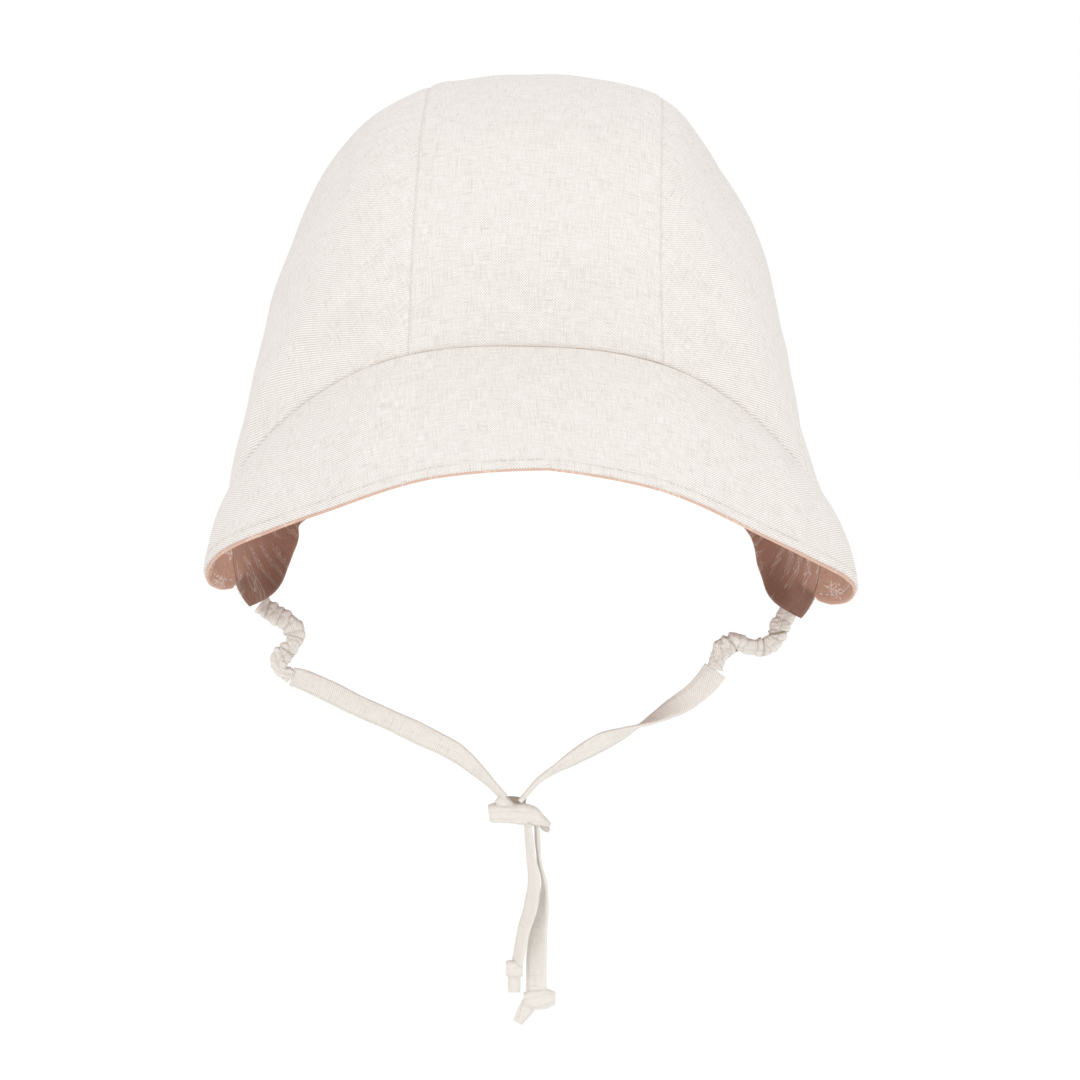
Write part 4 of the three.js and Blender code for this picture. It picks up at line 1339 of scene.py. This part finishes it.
@dataclass
class Brim:
    """The brim: its linen, its printed lining that rolls past the edge, and its topstitching."""

    form: BrimForm
    rows: int = 56
    columns: int = 330
    stitch_inset: float = 3.2
    stitch_length: float = 2.3
    stitch_gap: float = 0.7
    stitch_rows: int = 24
    stitch_lift: float = 0.12
    stitch_half_width: float = 0.2
    stitch_half_height: float = 0.16
    sway: float = 0.22
    lining_sway: float = 0.2
    pucker_height: float = 0.1
    groove: float = 0.22
    lining_groove: float = 0.18
    groove_reach: float = 0.55
    # painted shade in the stitch-line groove
    groove_shade: float = 0.14
    groove_puff: float = 0.09
    # painted highlight on the rolled rim of the lining
    rim_painted_highlight: float = 0.6
    print_offset: tuple[float, float] = (40.0, 7.0)

    def layer(self, reach: tuple[float, float], rows: int, columns: int) -> dict[str, np.ndarray]:
        """The brim's outside before its relief.

        Args:
            reach: How far past the free edge it goes in the middle and at its ends, in millimetres.
            rows: Spaces from the seam to the edge.
            columns: Spaces along the brim.

        Returns:
            Its points and directions, and its place on the flat cloth.
        """
        along = np.linspace(-1, 1, columns + 1)
        ends = self.form.points(along, np.tile([[0.0], [1.0]], (1, columns + 1)))
        length = np.linalg.norm(ends[1] - ends[0], axis=-1)
        roll = reach[0] + (reach[1] - reach[0]) * smooth_step(0.2, 0.8, np.abs(along))
        out = ends_first(rows, 0.85)[:, None] * (1 + roll / length)[None]
        points = self.form.points(along, out)
        square = self.form.normals(along, np.minimum(out, 1))
        walked_v = running_length(points, 0)
        walked_u = running_length(points, 1)
        turn = (1 - smooth_step(0, SEAM_TURN, walked_v))[..., None]
        seam = self.form.seam_normals(along)[None]
        return {
            "along": along,
            "points": points,
            "square": unit(square * (1 - turn) + seam * turn),
            "u": walked_u - walked_u[:, -1:] / 2,
            "v": walked_v,
            "edge": walked_v[-1:] - walked_v,
        }

    def relief(self, sheet: dict[str, np.ndarray]) -> np.ndarray:
        """How far the linen stands out: seam, stitched line, puckers and soft waves."""
        u, v, edge = sheet["u"], sheet["v"], sheet["edge"]
        height = self.sway * ripple(u, v, 24, 3) * smooth_step(0, 10, v) * smooth_step(0, 8, edge)
        height -= SEAM_DIP * bell(v, SEAM_REACH)
        height += pucker(u, v, self.pucker_height, 6, 8)
        line = edge - self.stitch_inset
        height -= self.groove * bell(line, self.groove_reach)
        height += self.groove_puff * bell(line, self.groove_reach * 4) * ripple(u, u * 0, 4, 9)
        return height - turned_edge(edge, FOLD_RADIUS)

    def linen(self, name: str) -> bpy.types.Object:
        """Builds the outer cloth, with painted shade in its seam and in its stitch-line groove."""
        sheet = self.layer((0.0, 0.0), self.rows, self.columns)
        height = self.relief(sheet)
        # painted shade in the face seam's groove and in the stitch-line groove
        crease = seam_shade(sheet["points"][:1], sheet["v"])
        line = sheet["edge"] - self.stitch_inset
        crease = np.maximum(crease, self.groove_shade * bell(line, LINING_SHADE_REACH))
        outside = sheet["points"] + sheet["square"] * height[..., None]
        inside = sheet["points"] - sheet["square"] * OUTER_WALL
        cloth = np.stack([sheet["u"], sheet["v"]], axis=-1)
        return Bench.wall(name, outside[::-1], inside[::-1], cloth[::-1], crease[::-1])

    def lining(self, name: str) -> bpy.types.Object:
        """Builds the printed lining, which shows as a thin rim past the linen, with painted shade in its seam
        and a painted highlight on that rim.
        """
        sheet = self.layer((LINING_ROLL / 2, LINING_ROLL), self.rows, self.columns)
        u, v, edge = sheet["u"], sheet["v"], sheet["edge"]
        back = OUTER_WALL + LAYER_GAP * smooth_step(LINING_ROLL, 4, edge)
        curl = turned_edge(edge, LINING_WALL / 2)
        dip = LINING_SEAM_DIP * bell(v, SEAM_REACH)
        dip += self.lining_groove * bell(edge - self.stitch_inset - LINING_ROLL, 0.5)
        soft = self.lining_sway * ripple(u, v, 20, 77) * smooth_step(0, 8, v) * smooth_step(0, 6, edge)
        outside = sheet["points"] - sheet["square"] * (back + curl)[..., None]
        thick = back + LINING_WALL - curl - dip + np.maximum(soft, -0.15)
        inside = sheet["points"] - sheet["square"] * thick[..., None]
        # painted shade in the seam, less a painted highlight on the rim past the linen's edge
        crease = LINING_SEAM_SHADE * bell(v, LINING_SHADE_REACH) - self.rim_painted_highlight * bell(edge, 1.2)
        cloth = np.stack([u + self.print_offset[0], v + self.print_offset[1]], axis=-1)
        return Bench.wall(name, outside[::-1], inside[::-1], cloth[::-1], crease[::-1])

    def stitches(self, name: str) -> bpy.types.Object:
        """Builds the topstitching on both faces: one stitch, modelled once and copied along the edge."""
        bpy.ops.object.select_all(action="DESELECT")
        bpy.ops.mesh.primitive_uv_sphere_add(segments=6, ring_count=5, radius=1)
        model = bpy.context.object
        sheet = self.layer((0.0, 0.0), self.stitch_rows, self.columns)
        made = []
        for lift in (0.0, -OUTER_WALL - LAYER_GAP - LINING_WALL):
            made += self.row_of_stitches(model, sheet, lift)
        bpy.data.objects.remove(model)
        joined = Bench.join(name, made)
        Bench.soften(joined, 80.0)
        return joined

    def row_of_stitches(
        self, model: bpy.types.Object, sheet: dict[str, np.ndarray], lift: float
    ) -> list[bpy.types.Object]:
        """Copies of a stitch along one face of the brim.

        Args:
            model: The stitch.
            sheet: What layer() gave.
            lift: How far the face stands out from the linen's outside, in millimetres.

        Returns:
            The copies.
        """

        def between(at: float, places: np.ndarray, values: np.ndarray) -> np.ndarray:
            return np.array([np.interp(at, places, values[:, i]) for i in range(3)])

        edges = sheet["edge"][::-1].T
        line, square = (
            np.array([
                between(self.stitch_inset, edge, sheet[name][::-1, c]) for c, edge in enumerate(edges)
            ])
            for name in ("points", "square")
        )
        walked = running_length(line, 0)
        pitch = self.stitch_length + self.stitch_gap
        face = -self.stitch_lift if lift == 0.0 else self.stitch_lift
        made = []
        for start in np.arange(pitch, walked[-1] - pitch, pitch):
            first = between(start, walked, line)
            last = between(start + self.stitch_length, walked, line)
            up = unit(between(start, walked, square))
            run = unit(last - first)
            aside = np.cross(up, run) * self.stitch_half_width
            centre = (first + last) / 2 + up * (lift + face)
            half = run * self.stitch_length / 2
            frame = np.stack([half, aside, up * self.stitch_half_height], axis=1)
            copy = model.copy()
            copy.data = model.data.copy()
            flat = np.empty(len(copy.data.vertices) * 3)
            copy.data.vertices.foreach_get("co", flat)
            Bench.place(copy, centre + flat.reshape(-1, 3) @ frame.T)
            bpy.context.scene.collection.objects.link(copy)
            made.append(copy)
        return made


Relief = Callable[[np.ndarray, np.ndarray, np.ndarray], tuple[np.ndarray, np.ndarray, np.ndarray]]


@dataclass(frozen=True)
class Band:
    """A folded and stitched band of linen that follows a table of sections."""

    rows: tuple[TieRow, ...]
    width: float
    thickness: float
    tab_back: float = ARCHES[0].neck_back * CROWN_LENGTH
    tab_tip: float = -ARCHES[0].neck_drop * CROWN_HEIGHT
    tangent_step: float = 0.01

    def table(self) -> tuple[np.ndarray, dict[str, np.ndarray]]:
        """The rows' shares along the band, and its columns."""
        names = ("out", "down", "forward", "wide", "thick", "turn")
        columns = {name: np.array([getattr(row, name) for row in self.rows], float) for name in names}
        walked = running_length(self.centre(columns), 0)
        return walked / walked[-1], columns

    def centre(self, columns: dict[str, np.ndarray]) -> np.ndarray:
        """The band's middle at each place, in millimetres."""
        return np.stack(
            [
                columns["out"] * CROWN_WIDTH,
                self.tab_back - columns["forward"] * TIE_WIDTH,
                self.tab_tip - columns["down"] * TIE_DROP,
            ],
            axis=-1,
        )

    def section(self, count: int) -> tuple[np.ndarray, np.ndarray]:
        """Points at even steps round the band's section: shares across it and through it."""
        turn = np.linspace(0, 2 * math.pi, SECTION_STEPS + 1)
        across = np.sign(np.cos(turn)) * np.abs(np.cos(turn)) ** (2 / SECTION_SQUARE)
        through = np.sign(np.sin(turn)) * np.abs(np.sin(turn)) ** (2 / SECTION_SQUARE)
        outline = np.stack([across * self.width, through * self.thickness], axis=-1)
        walked = running_length(outline, 0)
        wanted = np.linspace(0, walked[-1], count + 1)
        return np.interp(wanted, walked, across), np.interp(wanted, walked, through)

    def rings(
        self, steps: int, count: int, relief: Relief, past: tuple[float, float] = (0.0, 0.0)
    ) -> tuple[np.ndarray, np.ndarray, np.ndarray]:
        """The band's skin.

        Args:
            steps: Spaces along the band.
            count: Points round it.
            relief: Shares of width and thickness and the painted shade, from distance along, across and
                through.
            past: How far it goes on past its first and last section, in millimetres.

        Returns:
            The rings of points, their places on the flat cloth and their painted shade.
        """
        places, columns = self.table()

        def at(share: np.ndarray) -> dict[str, np.ndarray]:
            return {name: hermite(places, values, share) for name, values in columns.items()}

        share = np.linspace(0, 1, steps + 1)
        here = at(share)
        middle = self.centre(here)
        ahead = self.centre(at(np.minimum(share + self.tangent_step, 1)))
        behind = self.centre(at(np.maximum(share - self.tangent_step, 0)))
        tangent = unit(ahead - behind)
        middle[0] -= tangent[0] * past[0]
        middle[-1] += tangent[-1] * past[1]
        face = unit(np.array([0.0, -1.0, 0.0]) + tangent * tangent[:, 1:2])
        turn = np.radians(here["turn"])[:, None]
        turned = face * np.cos(turn) + np.cross(tangent, face) * np.sin(turn)
        side = np.cross(tangent, turned)
        across, through = self.section(count)
        walked = running_length(middle, 0)
        grow_a, grow_b, crease = relief(walked[:, None], across[None], through[None])
        aside = across[None] * here["wide"][:, None] * self.width / 2 * grow_a
        forth = through[None] * here["thick"][:, None] * self.thickness / 2 * grow_b
        skin = middle[:, None] + side[:, None] * aside[..., None] + turned[:, None] * forth[..., None]
        skin[:, -1] = skin[:, 0]
        plain = np.stack([across * self.width / 2, through * self.thickness / 2], axis=-1)
        round_it = np.broadcast_to(running_length(plain, 0), aside.shape)
        cloth = np.stack([round_it, np.broadcast_to(walked[:, None], aside.shape)], axis=-1)
        return skin, cloth, crease

    def build(
        self, name: str, steps: int, count: int, relief: Relief, past: tuple[float, float] = (0.0, 0.0)
    ) -> bpy.types.Object:
        """Builds the band as a closed tube; the arguments after its name are those of rings()."""
        return Bench.tube(name, *self.rings(steps, count, relief, past))


def pressed(walked: np.ndarray, across: np.ndarray, through: np.ndarray) -> tuple[np.ndarray, ...]:
    """The relief of a pressed strap: one stitched edge, a soft middle and slight waves, with painted shade
    along the stitching.
    """
    stitched = bell(across - STRAP_STITCH_AT, STRAP_STITCH_REACH)
    wave = ripple(walked, across * 3, 9, 17)
    grow_a = 1 + 0.025 * ripple(walked, walked * 0, 12, 4) + across * 0
    grow_b = 1 - 0.3 * stitched + 0.16 * wave + through * 0
    return grow_a, grow_b, 0.2 * stitched + walked * 0


@dataclass(frozen=True)
class Tuck:
    """A deep, sharp fold across a ruched tie: place along it and slant in millimetres, and its depth, which
    also sets the shade painted in it.
    """

    place: float
    slant: float
    depth: float


@dataclass(frozen=True)
class Ruched:
    """The folds across an elasticated start of a tie, other ones along each of its edges.

    Width and thickness are each a plain share, what a whole fold adds and what the finest waves add.
    """

    seed: int
    tucks: tuple[Tuck, ...]
    shortest: float = 2.2
    longest: float = 5.4
    most_folds: int = 24
    smallest: float = 0.45
    largest: float = 1.25
    roundness: float = 0.6
    width: tuple[float, float, float] = (0.87, 0.24, 0.04)
    thickness: tuple[float, float, float] = (0.8, 0.34, 0.08)
    # painted shade in the valleys between folds; the tucks and the seam get painted shade too
    valley_shade: float = 0.45
    tuck_reach: float = 0.45
    seam_at: float = -0.15
    seam_reach: float = 0.07
    seam_depth: float = 0.12
    seam_shade: float = 0.2

    def folds(self, draw: np.random.Generator, walked: np.ndarray) -> tuple[np.ndarray, np.ndarray]:
        """The folds of one edge.

        Args:
            draw: The source of chance.
            walked: Distances along the tie.

        Returns:
            The number of folds passed at each, and the size of the fold there.
        """
        ends = np.cumsum(draw.uniform(self.shortest, self.longest, self.most_folds)) - self.longest
        sizes = draw.uniform(self.smallest, self.largest, self.most_folds + 2)
        passed = np.interp(walked, ends, np.arange(len(ends)))
        return passed, sizes[np.floor(passed).astype(int)]

    def __call__(
        self, walked: np.ndarray, across: np.ndarray, through: np.ndarray
    ) -> tuple[np.ndarray, np.ndarray, np.ndarray]:
        """Shares of width and thickness, and the shade painted in the fold valleys, the tucks and the seam,
        at each place.
        """
        draw = np.random.default_rng(self.seed)
        left, left_size = self.folds(draw, walked)
        right, right_size = self.folds(draw, walked)
        aside = (across + 1) / 2
        wander = 0.12 * ripple(walked, across * 4, 4, self.seed) + 0.1 * through
        passed = left * (1 - aside) + right * aside + wander
        size = left_size * (1 - aside) + right_size * aside
        fold = np.abs(np.sin(math.pi * passed)) ** self.roundness
        fine = ripple(walked * 2, across * 5 + through, 3, self.seed + 3)
        grow_a, grow_b = (
            plain + by_fold * fold * size + by_fine * fine
            for plain, by_fold, by_fine in (self.width, self.thickness)
        )
        crease = self.valley_shade * (1 - fold) ** 3 + across * 0
        for tuck in self.tucks:
            near = tuck.depth * bell(walked - tuck.place - tuck.slant * across, self.tuck_reach)
            grow_a = grow_a - 0.2 * near
            grow_b = grow_b - 0.4 * near
            crease = np.maximum(crease, near)
        seam = bell(across - self.seam_at, self.seam_reach)
        crease = np.maximum(crease, self.seam_shade * seam)
        return grow_a, grow_b * (1 - self.seam_depth * seam), crease


@dataclass(frozen=True)
class Wound:
    """The relief of a band drawn tight in a knot: a few long pleats and rounded edges, with painted shade in
    the pleats' valleys and, for a band in the knot's shadow, all over.
    """

    pleats: float
    seed: int
    # painted shade laid over the whole band
    shade: float = 0.0
    roundness: float = 0.45
    valley_shade: float = 0.25

    def __call__(
        self, walked: np.ndarray, across: np.ndarray, through: np.ndarray
    ) -> tuple[np.ndarray, np.ndarray, np.ndarray]:
        """Shares of width and thickness and the painted shade at each place."""
        place = across * self.pleats + 0.3 + 0.03 * walked
        place = place + 0.12 * ripple(walked, across * 4, 7, self.seed)
        pleat = np.abs(np.sin(math.pi * place)) ** self.roundness
        grow_b = 0.9 + 0.11 * pleat + 0.06 * ripple(walked, across * 3, 4, self.seed) + through * 0
        grow_a = 1 + 0.05 * ripple(walked, walked * 0, 5, self.seed) + across * 0
        crease = np.maximum(self.valley_shade * (1 - pleat) ** 2, self.shade)
        return grow_a, grow_b, crease + walked * 0


@dataclass
class Tie:
    """One chin tie: its ruched start, its strap, its free end and the knot in it."""

    side: Side
    gather: tuple[TieRow, ...]
    strap: tuple[TieRow, ...]
    tail: tuple[TieRow, ...]
    end_wrap: tuple[TieRow, ...]
    end_stub: tuple[TieRow, ...]
    tucks: tuple[Tuck, ...]

    def build(self, linen: bpy.types.Material) -> None:
        """Builds and dresses the tie's pieces."""
        name = self.side.name.lower()
        gather = Band(self.gather, GATHER_WIDTH, GATHER_THICKNESS)
        strap = Band(self.strap, TIE_WIDTH, TIE_THICKNESS)
        tail = Band(self.tail, TIE_WIDTH, TIE_THICKNESS)
        ruched = Ruched(20 + self.side.value, self.tucks)
        for band, piece_name, node, steps, count, relief, past in (
            (gather, "ruched_start", "tie_gather", 280, 56, ruched, (0.6, 0.8)),
            (strap, "flat_strap", "tie_strap", 200, 40, pressed, (0.5, 2.0)),
            (tail, "free_end", "tie_tail", 150, 40, pressed, (2.0, 1.5)),
        ):
            piece = band.build(f"{piece_name}_{name}", steps, count, relief, past)
            dress(piece, linen, [f"{node}_{name}"])
        wrap = Band(self.end_wrap, TIE_WIDTH, END_KNOT_DEPTH).build("wrap", 60, 48, Wound(1.0, 5))
        stub = Band(self.end_stub, TIE_WIDTH, END_KNOT_DEPTH).build("stub", 50, 40, Wound(0.8, 6))
        piece = Bench.join(f"end_knot_{name}", [wrap, stub])
        dress(piece, linen, [f"tail_knot_{name}"])


@dataclass
class ChinKnot:
    """The knot that joins both ties: a wide wrap, a flap above it and what shows behind and under it."""

    # each part's rows, pleats and painted shade: the turns behind and under the knot are painted dark, as
    # they lie in its shadow
    parts: tuple[tuple[tuple[TieRow, ...], float, float], ...] = (
        (CHIN_WRAP, 1.4, 0.0),
        (CHIN_LOOP, 0.7, 0.0),
        (CHIN_BACK, 0.5, 0.8),
        (CHIN_UNDER, 0.5, 0.35),
    )

    def build(self, linen: bpy.types.Material) -> None:
        """Builds and dresses the knot."""
        made = [
            Band(rows, TIE_WIDTH, KNOT_DEPTH).build(f"turn_{i}", 90, 60, Wound(pleats, 40 + i, shade))
            for i, (rows, pleats, shade) in enumerate(self.parts)
        ]
        dress(Bench.join("knot_under_chin", made), linen, ["chin_knot"])


@dataclass(frozen=True)
class Studio:
    """The camera at the photograph's angle, soft light, and a pale floor that rises into a wall."""

    camera_at: tuple[float, float, float] = (0.0032, -1.2967, 0.1304)
    camera_to: tuple[float, float, float] = (0.0032, -0.03, -0.162)
    lens: float = 120.0
    sensor: float = 36.0
    farthest: float = 50.0
    lamps: tuple[tuple[tuple[float, float, float], float, float], ...] = (
        ((-0.9, -1.6, 1.3), 1.6, 9.0),
        ((1.2, -1.2, 0.7), 1.6, 5.0),
    )
    lit: tuple[float, float, float] = (0.0, 0.0, -0.12)
    floor_drop: float = 0.12
    floor_size: float = 6.0
    floor_back: float = 2.2
    floor_bend: float = 1.0

    def camera(self) -> None:
        """Makes the camera."""
        bpy.ops.object.camera_add(location=self.camera_at)
        made = bpy.context.object
        self.aim(made, self.camera_to)
        made.data.lens = self.lens
        made.data.sensor_width = self.sensor
        made.data.clip_end = self.farthest
        bpy.context.scene.camera = made

    def light(self) -> None:
        """Makes an even pale sky and two large soft lamps."""
        world = bpy.data.worlds.new("studio_sky")
        bpy.context.scene.world = world
        world.use_nodes = True
        sky = world.node_tree.nodes["Background"]
        sky.inputs["Color"].default_value = (1.0, 1.0, 1.0, 1.0)
        sky.inputs["Strength"].default_value = 1.0
        for at, size, power in self.lamps:
            bpy.ops.object.light_add(type="AREA", location=at)
            made = bpy.context.object
            made.data.size = size
            made.data.energy = power
            self.aim(made, self.lit)

    @staticmethod
    def aim(made: bpy.types.Object, at: tuple[float, float, float]) -> None:
        """Turns a camera or lamp to look at a place."""
        look = Vector(at) - made.location
        made.rotation_euler = look.to_track_quat("-Z", "Y").to_euler()

    def floor(self, lowest: float) -> None:
        """Makes the floor and the wall behind it, in one sheet with a round bend."""
        bpy.ops.object.select_all(action="DESELECT")
        bpy.ops.mesh.primitive_grid_add(x_subdivisions=2, y_subdivisions=60, size=2)
        made = bpy.context.object
        made.name = "studio_floor"
        bend, back = self.floor_bend, self.floor_back
        for point in made.data.vertices:
            run = (point.co.y + 1) / 2 * self.floor_size
            flat = run - self.floor_size / 2
            turn = min(max((flat - back) / bend, 0.0), math.pi / 2)
            rest = max(flat - back - bend * math.pi / 2, 0.0)
            point.co.x *= self.floor_size / 2
            point.co.y = min(flat, back) + bend * math.sin(turn)
            point.co.z = lowest - self.floor_drop + bend * (1 - math.cos(turn)) + rest
        Bench.soften(made, 60.0)
        made.data.materials.append(Backdrop("studio_paper").material())
        made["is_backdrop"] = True


def build() -> None:
    """Builds the bonnet round its frame."""
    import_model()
    cad_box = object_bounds()
    bpy.context.scene.view_settings.view_transform = "Standard"
    studio = Studio()
    studio.camera()
    studio.light()
    studio.floor(cad_box[0].z)

    linen = Linen("outer_linen").material()
    brim_linen = Linen("brim_linen", lean=-1.0).material()
    tie_linen = Linen(
        "tie_linen",
        pale=rgba(234, 230, 224),
        shade=rgba(217, 211, 203),
        # groove: the ties' colour of painted shade in folds, along stitching and in the knot's recesses
        groove=rgba(160, 144, 126),
        contrast=0.6,
        streak=7.0,
    ).material()
    printed = PrintedLining("printed_lining").material()
    thread = Thread("sewing_thread").material()

    crown_form = CrownForm()
    brim_form = BrimForm(crown_form)
    crown = Crown(crown_form, brim_form)
    nodes = {Side.LEFT: "side_left", Side.CENTRE: "centre", Side.RIGHT: "side_right"}
    for side, node in nodes.items():
        piece = dress(crown.outer(side, f"linen_{node}"), linen, [f"crown_{node}"])
        declare_cloth(piece)
        piece = dress(crown.lining(side, f"print_{node}"), printed, [f"lining_{node}"])
        declare_cloth(piece)
    brim = Brim(brim_form)
    piece = dress(brim.linen("linen_brim"), brim_linen, ["brim"])
    declare_cloth(piece)
    piece = dress(brim.lining("print_brim"), printed, ["brim_lining"])
    declare_cloth(piece)
    dress(brim.stitches("brim_topstitching"), thread)

    left_tucks = (Tuck(3.2, 1.0, 0.5), Tuck(17.5, -1.2, 0.55), Tuck(24.0, 0.8, 0.5))
    right_tucks = (Tuck(8.6, 1.6, 0.9), Tuck(16.0, -0.8, 0.5), Tuck(27.5, 1.2, 0.6))
    rows = (LEFT_GATHER, LEFT_STRAP, LEFT_TAIL, LEFT_END_WRAP, LEFT_END_STUB)
    Tie(Side.LEFT, *rows, left_tucks).build(tie_linen)
    rows = (RIGHT_GATHER, RIGHT_STRAP, RIGHT_TAIL, RIGHT_END_WRAP, RIGHT_END_STUB)
    Tie(Side.RIGHT, *rows, right_tucks).build(tie_linen)
    ChinKnot().build(tie_linen)


if __name__ == "__main__":
    logging.basicConfig(level=logging.INFO, format="%(message)s")
    build()
